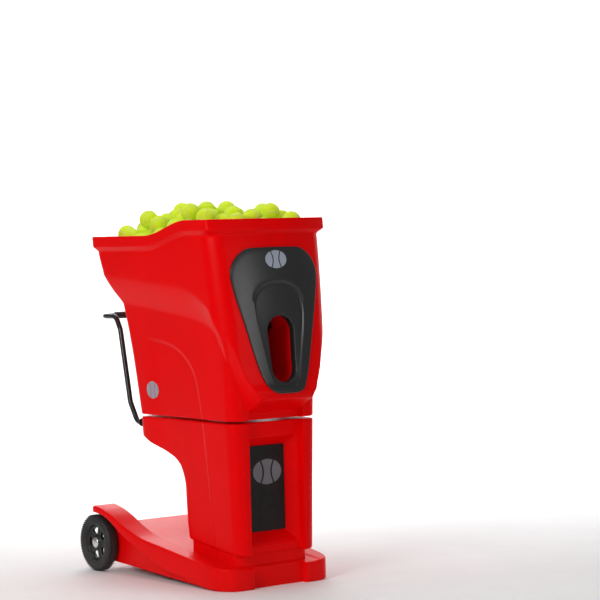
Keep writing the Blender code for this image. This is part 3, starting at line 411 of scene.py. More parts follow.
finishes = {
    "red": plasticMaterial("redMoulding", (0.88, 0.0, 0.0012), (0.83, 0.0, 0.001), (0.33, 0.38),
                           (700, 0.18), 0.03, Specular_IOR_Level=0.06),
    # the inside's red is a brighter copy of the body's red: painted light where the exit slot's inside and
    # the hopper floor lie in shade
    "redInnerPaintedLight": plasticMaterial("redInnerPaintedLight", (0.92, 0.001, 0.003), None, (0.4, 0.5), (600, 0.2), 0.0,
                                Specular_IOR_Level=0.15),
    "blackShield": plasticMaterial("blackShield", (0.016, 0.0165, 0.018), None, (0.30, 0.32), (1100, 0.03)),
    "blackInsert": plasticMaterial("blackInsert", (0.0065, 0.0065, 0.007), None, (0.55, 0.7), (500, 0.35),
                                   Specular_IOR_Level=0.3),
    "blackCase": plasticMaterial("blackCase", (0.02, 0.02, 0.021), None, (0.35, 0.5), (800, 0.2)),
    "enamel": metalMaterial("blackEnamel", (0.012, 0.012, 0.0125), (0.03, 0.03, 0.03), (0.16, 0.28),
                            (500, 0.05), metallic=0.0),
    "rimBlack": plasticMaterial("rimBlack", (0.007, 0.010, 0.0105), None, (0.3, 0.42), (700, 0.15), 0.1),
    "tyre": plasticMaterial("tyreRubber", (0.009, 0.009, 0.0095), (0.012, 0.012, 0.012), (0.5, 0.7),
                            (600, 0.4), 0.15),
    "zinc": metalMaterial("brightZinc", (0.72, 0.72, 0.73), None, (0.16, 0.30), (300, 0.06)),
    "steel": metalMaterial("platedSteel", (0.52, 0.52, 0.54), None, (0.28, 0.42), (300, 0.12), (1, 1, 6)),
    "motor": metalMaterial("motorCase", (0.04, 0.04, 0.045), (0.2, 0.2, 0.2), (0.35, 0.5), (500, 0.15),
                           metallic=0.5),
    "grey": plasticMaterial("greyCase", (0.21, 0.21, 0.22), None, (0.45, 0.6)),
    "pipe": plasticMaterial("whitePipe", (0.62, 0.62, 0.60), None, (0.35, 0.5)),
    "urethane": plasticMaterial("throwingTyre", (0.10, 0.105, 0.11), None, (0.5, 0.7), (400, 0.35)),
    "badge": plasticMaterial("badgeGrey", (0.36, 0.40, 0.48), None, (0.35, 0.45)),
    "badgeDark": plasticMaterial("badgeDark", (0.16, 0.17, 0.19), None, (0.4, 0.5)),
    "floor": plasticMaterial("studioPaper", (0.86, 0.86, 0.86), (0.84, 0.84, 0.84), (0.7, 0.85),
                             (300, 0.02)),
}
print("materials ready")
placeCamera()
placeLights()
placeFloor(finishes["floor"])


# The shape of the upper housing and the column.

bodyFacts = {
    "wall": 0.004, "frontFace": -0.389, "columnCorner": 0.045, "rearCorner": 0.040, "bow": 0.595,
    "rimHeight": 1.208, "rimRise": 0.050, "riseFrom": 0.024, "riseTo": -0.235, "lipOut": 0.0125,
    "lipFrom": 1.1555,
    "lipTall": 0.015, "notchOuter": 0.1125, "notchRun": 0.004, "notchDepth": 0.025, "stepDepth": 0.0045,
    "seamLow": 0.564, "seamHigh": 0.572, "edgeRound": 0.005, "openingLand": 0.012,
    "panY": -0.22, "spindleBore": 0.0083, "motorBore": 0.012, "gap": 0.0003,
    # holes in the column for the power inlet and the switch, and the solid corners that hold the handle
    "inlet": ((-0.064, -0.07, 0.263), (-0.016, -0.02, 0.297)),
    "switch": ((0.0245, -0.07, 0.2645), (0.0555, -0.02, 0.2955)),
    "bossInner": 0.143, "bossOuter": 0.205, "bossY": (0.146, 0.22), "bossZ": (0.523, 0.557),
}
handleFacts = {
    "x": 0.160, "radius": 0.0095, "bend": 0.035, "socket": 0.0100, "socketY": (0.1517, 0.30),
    "route": [(0.152, 0.540), (0.2365, 0.540), (0.2805, 0.610), (0.335, 0.870), (0.3635, 0.917),
              (0.4575, 0.917)],
    "gripHalf": 0.105, "gripRings": 22, "firstRing": -0.1005, "ringPitch": 0.00957,
}
axleFacts = {"y": 0.371, "z": 0.1016, "bore": 0.0063, "half": 0.3}
lowHalf = fairCurve([(0.572, 0.180), (0.97, 0.197), (1.07, 0.215), (1.25, 0.232)])
lowRear = fairCurve([(0.572, 0.2025), (0.766, 0.2355), (0.97, 0.2815), (1.07, 0.310), (1.25, 0.36)])
podHalf = fairCurve([(0.572, 0.186), (0.60, 0.190), (0.70, 0.205), (0.80, 0.218), (0.90, 0.226),
                     (1.07, 0.2355), (1.154, 0.239), (1.21, 0.2385)])
podRear = fairCurve([(0.97, 0.330), (1.07, 0.346), (1.154, 0.3725), (1.21, 0.3815)])
podFront = fairCurve([(0.60, -0.440), (0.640, -0.462), (0.668, -0.4665), (0.70, -0.456), (0.927, -0.428),
                      (1.167, -0.3986), (1.26, -0.3815)])
podCorner = straightCurve([(0.60, 0.030), (0.75, 0.048), (0.90, 0.056), (1.15, 0.052), (1.168, 0.020),
                           (1.208, 0.014)])
creaseSide = fairCurve([(-0.366, 0.783), (-0.321, 0.868), (-0.2335, 0.910), (-0.0485, 0.938),
                        (0.1435, 0.959), (0.2815, 0.970)])
creaseFront = fairCurve([(0.110, 0.606), (0.135, 0.652), (0.152, 0.697), (0.167, 0.742), (0.177, 0.772)])
columnHalf = straightCurve([(0.112, 0.162), (0.564, 0.180)])
columnRear = fairCurve([(0.10, -0.052), (0.150, -0.0505), (0.225, -0.0455), (0.330, -0.0455),
                        (0.395, -0.026), (0.424, 0.0045),
                        (0.448, 0.0665), (0.479, 0.171), (0.500, 0.2025), (0.564, 0.2025)])
# the raised flank ends at this line: y by height
flankLine = fairCurve([(0.10, -0.245), (0.171, -0.237), (0.561, -0.2046), (0.71, -0.177), (0.769, -0.137),
                       (0.812, -0.070), (0.830, -0.010), (0.842, 0.080), (0.852, 0.178)])


# Points from the middle of the rear round the side to the middle of the front.
def halfOutline(half, front, rear, corner, rearCorner):
    back = [(x, rear) for x in np.linspace(0, half - rearCorner, 12)[:-1]]
    back += arcPoints(half - rearCorner, rear - rearCorner, rearCorner, 90, 0, 10)
    side = [(half, y) for y in np.linspace(rear - rearCorner, front + corner, 84)[1:-1]]
    side += arcPoints(half - corner, front + corner, corner, 0, -90, 22)
    across = np.concatenate([np.linspace(half - corner, 0.1165, 26)[1:-1], np.linspace(0.1165, 0.1055, 14),
                             np.linspace(0.1055, 0, 16)[1:]])
    return np.array(back + side + [(x, front) for x in across])


def notchCut(x, fade=1.0):
    f = bodyFacts
    return f["notchDepth"] * fade * softRamp((f["notchOuter"] - np.abs(x)) / f["notchRun"], 0.3)


# Sinks the side behind the flank line.
def flankStep(points, height):
    f = bodyFacts
    y = points[:, 1]
    line = flankLine(height)
    slope = (flankLine(height + 0.004) - flankLine(height - 0.004)) / 0.008
    away = (y - line) / np.sqrt(1 + slope * slope)
    share = smoothStep((away + 0.004) / 0.010) * smoothStep((0.150 - y) / 0.12)
    share *= smoothStep((0.850 - height) / 0.008)
    points[:, 0] -= f["stepDepth"] * share
    return points


# Height where the wide upper shape starts, and how tall its slope is. The side's reading turns into the
# front's round the corner.
def creaseHeight(x, y):
    f = bodyFacts
    low = f["frontFace"] + f["columnCorner"] * 0.12
    onSide = smoothStep((y - low) / (f["columnCorner"] * 0.95))
    frontDepth = 0.038 + 0.062 * smoothStep((x - 0.110) / 0.05)
    start = creaseFront(x) + (creaseSide(y) - creaseFront(x)) * onSide
    return start, frontDepth + (0.100 - frontDepth) * onSide


def upperRing(height, inset=0.0, frontInset=0.0, detailed=True):
    f = bodyFacts
    rise = f["rimRise"] * smoothStep((height - 0.97) / 0.184)
    mark = halfOutline(lowHalf(height), f["frontFace"], lowRear(height), f["columnCorner"], f["rearCorner"])
    low = halfOutline(lowHalf(height) - inset, f["frontFace"] + inset + frontInset, lowRear(height) - inset,
                      f["columnCorner"] - inset, f["rearCorner"] - inset)
    low = flankStep(low, height)
    if detailed:
        low[:, 1] += notchCut(low[:, 0], float(smoothStep((0.612 - height) / 0.016))) * (low[:, 1] < -0.36)
    lip = f["lipOut"] * softRamp((height - f["lipFrom"]) / f["lipTall"], 0.16)
    wide = halfOutline(podHalf(height) + lip - inset, podFront(height + rise) - lip + inset,
                       podRear(height) + lip - inset,
                       podCorner(height) + 2 * max(inset, 0), f["rearCorner"] - inset)
    wide[:, 1] += f["bow"] * wide[:, 0] ** 2 * smoothStep(-wide[:, 1] / 0.30)
    start, depth = creaseHeight(mark[:, 0], mark[:, 1])
    share = softRamp((height - start - 4 * inset) / depth, 0.07)[:, None]
    flat = low + (wide - low) * share
    lift = rise * smoothStep((f["riseFrom"] - flat[:, 1]) / (f["riseFrom"] - f["riseTo"]))
    return mirrorRing(np.column_stack([flat, height + lift]))


def podFace(x, z):
    return podFront(z) + bodyFacts["bow"] * np.asarray(x) ** 2


def columnRing(mean, inset=0.0, frontInset=0.0, detailed=True):
    f = bodyFacts
    front = f["frontFace"] + inset + frontInset
    flat = halfOutline(columnHalf(mean) - inset, front, columnRear(mean) - inset,
                       f["columnCorner"] - inset, f["rearCorner"] - inset)
    flat = flankStep(flat, mean)
    if detailed:
        flat[:, 1] += notchCut(flat[:, 0]) * (flat[:, 1] < -0.36)
    tilt = 0.038 * np.clip((f["seamLow"] - mean) / 0.414, 0, 1)
    away = np.clip((columnRear(0.150) - flat[:, 1]) / (columnRear(0.150) - f["frontFace"]), 0, 1)
    return mirrorRing(np.column_stack([flat, mean - tilt * away]))


# Pairs (down, in) round a quarter circle, from the side to the edge.
def rolledEdge(radius, steps=5):
    return [(radius * (1 - math.sin(a)), radius * (1 - math.cos(a))) for a in np.linspace(0, math.pi / 2,
                                                                                          steps + 1)]


def boxCutter(name, low, high, bevel=0.0):
    bm = bmesh.new()
    bmesh.ops.create_cube(bm, size=1)
    for vert in bm.verts:
        vert.co = Vector([lo + (hi - lo) * (c + 0.5) for lo, hi, c in zip(low, high, vert.co)])
    if bevel:
        bmesh.ops.bevel(bm, geom=bm.edges, offset=bevel, segments=3, affect="EDGES", profile=0.5)
    return fromBmesh(name, bm)


# A round cutter along an axis, between two ends.
def drill(name, axis, centre, radius, ends, steps=24):
    rings = []
    for end in ends:
        ring = []
        for a in np.linspace(0, 2 * math.pi, steps, endpoint=False):
            point = [centre[0] + radius * math.cos(a), centre[1] + radius * math.sin(a)]
            point.insert("XYZ".index(axis), end)
            ring.append(point)
        rings.append(ring)
    return ringSkin(name, rings)


# A (radius, height) profile turned about an axis through place.
def turnedShape(name, profile, axis, place, material=None, steps=96, sharp=35):
    turn = np.linspace(0, 2 * math.pi, steps, endpoint=False)
    rings = []
    for r, h in profile:
        x, y, z = r * np.cos(turn), r * np.sin(turn), np.full(steps, h)
        if axis == "X":
            x, y, z = z, x, y
        elif axis == "Y":
            x, y, z = y, z, x
        rings.append(np.column_stack([x + place[0], y + place[1], z + place[2]]))
    return ringSkin(name, rings, material, closed=True, sharp=sharp)


# Rounds the corners of a closed profile of (a, b) points.
def roundProfile(points, radius, steps=4):
    out = []
    count = len(points)
    for i in range(count):
        here = Vector(points[i][:2])
        r = points[i][2] if len(points[i]) > 2 else radius
        before, after = Vector(points[i - 1][:2]) - here, Vector(points[(i + 1) % count][:2]) - here
        if r <= 0 or before.length < 1e-9 or after.length < 1e-9:
            out.append(tuple(here))
            continue
        half = max(before.angle(after), 0.05) / 2
        reach = min(r / math.tan(half) if half < 1.56 else 0, before.length * 0.45, after.length * 0.45)
        if reach < 1e-6:
            out.append(tuple(here))
            continue
        a, b = here + before.normalized() * reach, here + after.normalized() * reach
        for t in np.linspace(0, 1, steps + 1):
            out.append(tuple(a * (1 - t) ** 2 + here * 2 * t * (1 - t) + b * t * t))
    return out


bezelSides = [(0.664, 0.030), (0.667, 0.050), (0.678, 0.069), (0.696, 0.082), (0.718, 0.093),
              (0.748, 0.104), (0.810, 0.121), (0.880, 0.138), (0.980, 0.165),
              (1.040, 0.178), (1.075, 0.182), (1.110, 0.170), (1.135, 0.148), (1.150, 0.126),
              (1.160, 0.105)]
slotFacts = {"top": 0.927, "bottom": 0.700, "topHalf": 0.055, "bottomHalf": 0.050}


# Smooths a closed outline by cutting its corners, and samples it by angle about its middle.
def evenLoop(points, count, cuts=3):
    loop = np.array(points, float)
    for _ in range(cuts):
        after = np.roll(loop, -1, axis=0)
        loop = np.stack([loop * 0.75 + after * 0.25, loop * 0.25 + after * 0.75], axis=1).reshape(-1, 2)
    after = np.roll(loop, -1, axis=0)
    length = np.concatenate([[0], np.cumsum(np.linalg.norm(after - loop, axis=1))])
    closed = np.vstack([loop, loop[:1]])
    at = np.linspace(0, length[-1], count, endpoint=False)
    return np.column_stack([np.interp(at, length, closed[:, k]) for k in (0, 1)])


# Turns a sampled loop so that it starts nearest to the top middle and runs towards +X.
def topFirst(loop):
    score = -loop[:, 1] + np.abs(loop[:, 0]) * 0.5
    loop = np.roll(loop, -int(np.argmin(score)), axis=0)
    if loop[3, 0] < 0:
        loop = np.roll(loop[::-1], 1, axis=0)
    return loop


def bezelLoop(inset, count=176):
    points = [(half - inset, z) for z, half in bezelSides]
    for end, sign in ((0, 1), (-1, -1)):
        z, half = bezelSides[end]
        points[end] = (half - inset * 0.4, z + sign * inset)
    points += [(-x, z) for x, z in points[::-1]]
    return topFirst(evenLoop(points, count))


def slotLoop(grow, count=176):
    f = slotFacts
    points = arcPoints(0, f["top"] - f["topHalf"], f["topHalf"] + grow, 0, 180, 24)
    points += arcPoints(0, f["bottom"] + f["bottomHalf"], f["bottomHalf"] + grow, 180, 360, 24)
    return topFirst(evenLoop(points, count, 1))


def buildUpperHousing():
    f = bodyFacts
    wall = f["wall"]
    heights = np.concatenate([np.linspace(0.578, 0.70, 40), np.linspace(0.705, 0.97, 50),
                              np.linspace(0.976, 1.145, 24),
                              np.linspace(1.149, 1.176, 15), np.linspace(1.180, 1.204, 5)])
    rings = [upperRing(f["seamHigh"] + down, into) for down, into in rolledEdge(f["edgeRound"])[::-1]]
    rings += [upperRing(h) for h in heights]
    roll = rolledEdge(wall / 2, 4)
    rings += [upperRing(f["rimHeight"] - down, into) for down, into in roll]
    rings += [upperRing(f["rimHeight"] - down, wall - into) for down, into in roll[::-1][1:]]
    inner = np.concatenate([np.linspace(1.200, 1.150, 14), np.linspace(1.14, 0.95, 20),
                            np.linspace(0.93, 0.606, 24)])
    rings += [upperRing(h, wall, f["notchDepth"], False) for h in inner]
    rings.append(upperRing(f["seamHigh"] + wall, wall, f["notchDepth"], False))
    shell = ringSkin("upperHousing", rings, finishes["red"])
    loop = bezelLoop(f["openingLand"], 64)
    opening = ringSkin("cutOpening", [[(x, y, z) for x, z in loop] for y in (-0.56, -0.34)])
    bore = drill("cutBore", "Z", (0, f["panY"]), f["spindleBore"], (0.55, 0.60))
    sharpen(cutAway(shell, opening, bore), 32)
    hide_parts("upper_housing")
    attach(shell, "upper_body")


buildUpperHousing()
print("upper housing done")


# Lower column.

recessFacts = {"face": (0.105, 0.144, 0.513), "back": (0.075, 0.182, 0.482), "depth": 0.038,
               "corner": 0.009}


recessFloor = bodyFacts["frontFace"] + bodyFacts["notchDepth"] + recessFacts["depth"]


def recessLoop(depthIn, grow=0.0):
    r = recessFacts
    t = depthIn / r["depth"]
    half, low, high = (a + (b - a) * t for a, b in zip(r["face"], r["back"]))
    half, low, high = half + grow, low - grow, high + grow
    return roundProfile(boxLoop(-half, low, half, high), r["corner"] + max(grow, 0), 6)


def recessSolid(name, grow):
    face = bodyFacts["frontFace"] + bodyFacts["notchDepth"]
    depth = recessFacts["depth"]
    mouth = [(-0.006, 0.0060), (-0.001, 0.0045), (0.0004, 0.0022), (0.0016, 0.0008), (0.0035, 0.0)]
    steps = [(-0.006, 0), (0.002, 0)] if grow else mouth
    steps += [(depth * k, 0.0) for k in (0.3, 0.6, 0.9)] + [(depth + grow - 0.001, 0.0),
                                                            (depth + grow, -0.0006)]
    rings = [[(x, face + d, z) for x, z in recessLoop(max(d, -0.001), grow + flare)] for d, flare in steps]
    return ringSkin(name, rings)


def buildColumn():
    f = bodyFacts
    wall = f["wall"]
    heights = np.concatenate([np.linspace(0.157, 0.37, 36), np.linspace(0.374, 0.505, 62),
                              np.linspace(0.511, 0.558, 10)])
    rings = [columnRing(0.150 + down, into) for down, into in rolledEdge(0.006)[::-1]]
    rings += [columnRing(h) for h in heights]
    rings += [columnRing(f["seamLow"] - down, into) for down, into in rolledEdge(f["edgeRound"])]
    column = ringSkin("lowerHousing", rings, finishes["red"])
    inside = [columnRing(h, wall, f["notchDepth"],
                         False) for h in np.concatenate([[0.155], np.linspace(0.17, 0.54, 30), [0.559]])]
    hollow = ringSkin("cutHollow", inside)
    bosses, sockets = [], []
    for side in (-1, 1):
        x0, x1 = sorted((side * f["bossInner"], side * f["bossOuter"]))
        (y0, y1), (z0, z1) = f["bossY"], f["bossZ"]
        bosses.append(boxCutter("cutBoss", (x0, y0, z0), (x1, y1, z1)))
        h = handleFacts
        sockets.append(drill("cutSocket", "Y", (side * h["x"], h["route"][0][1]), h["socket"],
                             h["socketY"], 32))
    cutAway(hollow, recessSolid("cutRecessWall", wall), *bosses)
    bore = drill("cutPanBore", "Z", (0, f["panY"]), f["motorBore"], (0.5, 0.6), 32)
    entries = [boxCutter("cutEntry", *f[name]) for name in ("inlet", "switch")]
    sharpen(cutAway(column, hollow, recessSolid("cutRecess", 0), *sockets, bore, *entries), 32)
    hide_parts("lower_housing")
    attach(column, "base")


buildColumn()
print("column done")


# Base sled.

sledFacts = {"front": -0.3975, "rear": 0.385, "box": 0.225, "armInner": 0.170, "footRear": -0.32,
             "tail": 0.040, "round": 0.007,
             "noseRound": 0.007, "notchHalf": 0.110, "notchDepth": 0.025, "neckInset": 0.012}
sledTop = fairCurve([(-0.3975, 0.073), (-0.2525, 0.091), (-0.142, 0.107), (-0.0305, 0.124),
                     (0.0955, 0.145), (0.1825, 0.174),
                     (0.2725, 0.212), (0.33, 0.229), (0.375, 0.236), (0.385, 0.2355)])
sledDeck = fairCurve([(-0.3975, 0.069), (-0.2525, 0.086), (-0.142, 0.100), (-0.05, 0.112), (0.10, 0.128),
                      (0.25, 0.150), (0.385, 0.165)])
sledArch = fairCurve([(-0.32, 0.004), (-0.2505, 0.012), (-0.1455, 0.031), (-0.0575, 0.043),
                      (0.0375, 0.073), (0.1565, 0.123),
                      (0.22, 0.157), (0.2775, 0.190), (0.33, 0.207), (0.385, 0.213)])
sledWidth = fairCurve([(-0.3975, 0.155), (-0.3955, 0.170), (-0.39, 0.1885), (-0.37, 0.2125),
                       (-0.34, 0.228), (-0.30, 0.237), (-0.10, 0.246),
                       (0.10, 0.258), (0.30, 0.270), (0.385, 0.270)])


def sledUnder(y):
    s = sledFacts
    t = (y - s["footRear"]) / (s["rear"] - s["footRear"])
    return s["tail"] * max(t, 0.0) * min(1.0, max(t, 0.0) * 6 + 0.2)


# How far the section draws in close to the rounded front and rear ends.
def endInset(y):
    s = sledFacts
    r = s["noseRound"]
    d = min(y - s["front"], s["rear"] - y)
    return 0.0 if d >= r else r - math.sqrt(max(r * r - (r - d) ** 2, 0.0))


def sledSection(y):
    s = sledFacts
    draw = endInset(y)
    under = sledUnder(y) + draw * (0.4 if y < 0 else 1.0)
    edge = float(sledWidth(y)) - draw
    side = min(s["box"], edge - 0.006)
    arm = min(s["armInner"], side - 0.02)
    arch = max(float(sledArch(y)), under + 0.004)
    top, deck = float(sledTop(y)) - draw, float(sledDeck(y)) - draw * 0.8
    half = [(0, under, 0), (side, under, 0.004), (side, arch, 0.003), (edge, arch, 0.004),
            (edge, top, s["round"]), (arm + 0.010, top, s["round"]), (arm, deck, 0.008), (0, deck, 0)]
    points = roundProfile(half + [(-x, z, r) for x, z, r in half[-2:0:-1]], 0.005, 5)
    return [(x, y, z) for x, z in points]


def sledHollow(y):
    s = sledFacts
    edge = float(sledWidth(y))
    wall = bodyFacts["wall"]
    side = min(s["box"], edge - 0.006) - wall
    arm = min(s["armInner"], side + wall - 0.02) + 0.008
    bottom = wall if y < s["footRear"] else -0.010
    top, deck = float(sledTop(y)) - wall, float(sledDeck(y)) - wall
    half = [(0, bottom), (side, bottom), (side, top), (arm, top), (arm - 0.006, deck), (0, deck)]
    return [(x, y, z) for x, z in half] + [(-x, y, z) for x, z in half[-2:0:-1]]


def neckRings(inset, low, drop):
    outline = columnRing(0.150, inset, 0.021, False)
    outline[:, 2] -= drop
    return [[(x, y, low) for x, y, _ in outline], outline]


# The front notch of the base, with its mouth rounded outwards.
def notchSolid():
    s = sledFacts
    half, front = s["notchHalf"], s["front"]
    side = [(half + 0.012, front - 0.02), (half + 0.0045, front - 0.0005), (half + 0.0020, front + 0.0008),
            (half + 0.0005, front + 0.0028), (half, front + 0.006), (half, front + s["notchDepth"])]
    return ringSkin("cutNotch",
                    [[(x, y, z) for x, y in side] + [(-x, y, z) for x, y in side[::-1]] for z in (-0.02,
                                                                                                  0.2)])


def buildSled():
    s = sledFacts
    nose = [s["front"] + s["noseRound"] * (1 - math.cos(a)) for a in np.linspace(0, math.pi / 2, 9)]
    tail = [s["rear"] - s["noseRound"] * (1 - math.cos(a)) for a in np.linspace(math.pi / 2, 0, 7)]
    stations = nose + list(np.linspace(-0.388, -0.30, 26)) + list(np.linspace(-0.29, 0.37, 110)) + tail
    sled = ringSkin("baseSled", [sledSection(y) for y in stations], finishes["red"])
    neck = ringSkin("cutNeck", neckRings(s["neckInset"], 0.060, bodyFacts["gap"]))
    cutAway(sled, neck, operation="UNION")
    inside = list(np.linspace(-0.365, s["footRear"] - 0.001, 5)) + list(np.linspace(s["footRear"] + 0.001,
                                                                                    0.345, 26))
    hollow = ringSkin("cutSledHollow", [sledHollow(y) for y in inside])
    wall = bodyFacts["wall"]
    neckHollow = ringSkin("cutNeckHollow", neckRings(s["neckInset"] + wall, 0.020, wall + bodyFacts["gap"]))
    a = axleFacts
    bore = drill("cutAxle", "X", (a["y"], a["z"]), a["bore"], (-a["half"], a["half"]))
    sharpen(cutAway(sled, hollow, neckHollow, notchSolid(), bore), 32)
    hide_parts("base_sled")
    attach(sled, "base")


buildSled()
print("base sled done")


# Copies by geometry nodes.

# Places copies of one object on points, each turned by the point's own attribute.
def copiesTree():
    tree = bpy.data.node_groups.new("placeCopies", "GeometryNodeTree")
    tree.interface.new_socket(name="Points", in_out="INPUT", socket_type="NodeSocketGeometry")
    for label, kind in (("Piece", "NodeSocketObject"), ("Finish", "NodeSocketMaterial")):
        tree.interface.new_socket(name=label, in_out="INPUT", socket_type=kind)
    tree.interface.new_socket(name="Result", in_out="OUTPUT", socket_type="NodeSocketGeometry")
    nodes, links = tree.nodes, tree.links
    given, out = nodes.new("NodeGroupInput"), nodes.new("NodeGroupOutput")
    info = nodes.new("GeometryNodeObjectInfo")
    info.inputs["As Instance"].default_value = True
    links.new(given.outputs["Piece"], info.inputs["Object"])
    place = nodes.new("GeometryNodeInstanceOnPoints")
    links.new(given.outputs["Points"], place.inputs["Points"])
    links.new(info.outputs["Geometry"], place.inputs["Instance"])
    turn = nodes.new("GeometryNodeInputNamedAttribute")
    turn.data_type = "FLOAT_VECTOR"
    turn.inputs["Name"].default_value = "turn"
    rotation = nodes.new("FunctionNodeEulerToRotation")
    links.new(turn.outputs["Attribute"], rotation.inputs[0])
    links.new(rotation.outputs[0], place.inputs["Rotation"])
    real = nodes.new("GeometryNodeRealizeInstances")
    links.new(place.outputs[0], real.inputs[0])
    paint = nodes.new("GeometryNodeSetMaterial")
    links.new(real.outputs[0], paint.inputs["Geometry"])
    links.new(given.outputs["Finish"], paint.inputs["Material"])
    links.new(paint.outputs[0], out.inputs[0])
    return tree


copier = copiesTree()


# One mesh holding a copy of source at each place.
def copiesOf(name, source, places, turns, finish):
    mesh = bpy.data.meshes.new(name)
    mesh.from_pydata([tuple(p) for p in places], [], [])
    turn = mesh.attributes.new("turn", "FLOAT_VECTOR", "POINT")
    turn.data.foreach_set("vector", np.array(turns, float).ravel())
    made = linked(name, mesh)
    change = made.modifiers.new("copies", "NODES")
    change.node_group = copier
    sockets = {item.name: item.identifier for item in copier.interface.items_tree if item.in_out == "INPUT"}
    change[sockets["Piece"]] = source
    change[sockets["Finish"]] = finish
    bakeModifiers(made)
    bpy.data.objects.remove(source)
    return made


# One mesh from several objects, which are removed.
def joined(name, parts):
    materials = []
    bm = bmesh.new()
    for part in parts:
        start = len(bm.faces)
        offset = []
        for material in part.data.materials:
            if material not in materials:
                materials.append(material)
            offset.append(materials.index(material))
        bm.from_mesh(part.data)
        bm.faces.ensure_lookup_table()
        for face in bm.faces[start:]:
            face.material_index = offset[face.material_index] if offset else 0
    for part in parts:
        bpy.data.objects.remove(part)
    return fromBmesh(name, bm, materials)


def roundBar(name, low, high, bevel, material):
    made = boxCutter(name, low, high, bevel)
    made.data.materials.append(material)
    made.data.shade_smooth()
    return sharpen(made, 40)


# Bezel, exit and front insert.

bezelFacts = {"thick": 0.006, "gap": 0.0012, "round": 0.0022, "dishDepth": 0.0075,
              "slotRound": 0.0026, "sleeveDeep": 0.029, "sleeveWall": 0.0035}


def dishLoop(count=176):
    table = [(0.0, 0.684), (0.036, 0.686), (0.057, 0.704), (0.067, 0.740), (0.078, 0.800), (0.089, 0.855),
             (0.0985, 0.905),
             (0.1035, 0.950), (0.103, 0.982), (0.095, 1.010), (0.074, 1.033), (0.040, 1.047), (0.0, 1.050)]
    return topFirst(evenLoop(table + [(-x, z) for x, z in table[-2:0:-1]], count, 3))


def bezelSurface(loop, lift):
    x, z = loop[:, 0], loop[:, 1]
    return np.column_stack([x, podFace(x, z) - lift, z])


def buildBezel():
    b = bezelFacts
    thick, gap = b["thick"], b["gap"]
    rings = [bezelSurface(bezelLoop(0.014), gap), bezelSurface(bezelLoop(0.0), gap)]
    for down, into in rolledEdge(b["round"], 5):
        rings.append(bezelSurface(bezelLoop(into), thick - down))
    outer, dish, slot = bezelLoop(b["round"]), dishLoop(), slotLoop(b["slotRound"])
    for t in (0.15, 0.3, 0.45, 0.6, 0.75, 0.88):
        rings.append(bezelSurface(outer + (dish - outer) * t, thick))
    for t in (0.0, 0.25, 0.5, 0.75, 1.0):
        shrink = dish + (slot - dish) * (0.01 + 0.10 * t)
        rings.append(bezelSurface(shrink, thick - b["dishDepth"] * float(smoothStep(t)) * 0.72))
    for t in (0.22, 0.35, 0.5, 0.65, 0.8, 0.92, 1.0):
        rings.append(bezelSurface(dish + (slot - dish) * t, thick - b["dishDepth"] * (0.70 + 0.30 * t)))
    for turn in (25, 50, 75, 90):
        a = math.radians(turn)
        loop = slotLoop(b["slotRound"] * (1 - math.sin(a)))
        rings.append(bezelSurface(loop, thick - b["dishDepth"] - b["slotRound"] * (1 - math.cos(a))))
    wall, deep = b["sleeveWall"], b["sleeveDeep"]
    for grow, away in ((0.0, deep - 0.001), (0.0004, deep), (wall, deep), (wall, 0.004)):
        loop = slotLoop(grow)
        rings.append(np.column_stack([loop[:, 0], podFront(loop[:, 1]) + away, loop[:, 1]]))
    plate = ringSkin("bezelShield", rings, finishes["blackShield"], closed=True, sharp=34)
    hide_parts("bezel")
    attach(plate, "upper_body")


def buildShroud():
    outer, inner = 0.0085, 0.0055
    rings = []
    for grow, deep in ((outer, 0.034), (outer, 0.05), (outer, None), (inner, None), (inner, 0.05),
                       (inner, 0.034)):
        loop = slotLoop(grow, 96)
        # the side walls reach further back than the ends, which leave room for the tilting wheels
        sides = 0.028 * smoothStep((0.075 - np.abs(loop[:, 1] - 0.8135)) / 0.03)
        y = sides - 0.300 if deep is None else podFront(loop[:, 1]) + deep
        rings.append(np.column_stack([loop[:, 0], y, loop[:, 1]]))
    # the sleeve takes the brighter inside red, painted light for its shaded inside
    sleeve = ringSkin("exitSleeve", rings, finishes["redInnerPaintedLight"], closed=True, sharp=34)
    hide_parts("exit_shroud")
    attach(sleeve, "upper_body")


buildBezel()
buildShroud()


insertFace = 0.0033  # from the recess's floor to the insert's front


def buildInsert():
    half, low, high = recessFacts["back"]
    edge = 0.0022
    back = recessFloor - bodyFacts["gap"]
    rings = []
    for y, into in ((back, 0.0), (back - 0.0022, 0.0), (back - 0.0028, 0.0003), (back - 0.003, 0.0012)):
        h, lo, hi = half - edge - into, low + edge + into, high - edge - into
        rings.append([(x, y, z) for x, z in roundProfile(boxLoop(-h, lo, h, hi), 0.006 - into, 6)])
    plate = ringSkin("frontInsert", rings, finishes["blackInsert"], sharp=30)
    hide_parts("front_insert")
    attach(plate, "base")


buildInsert()
print("bezel, exit and insert done")


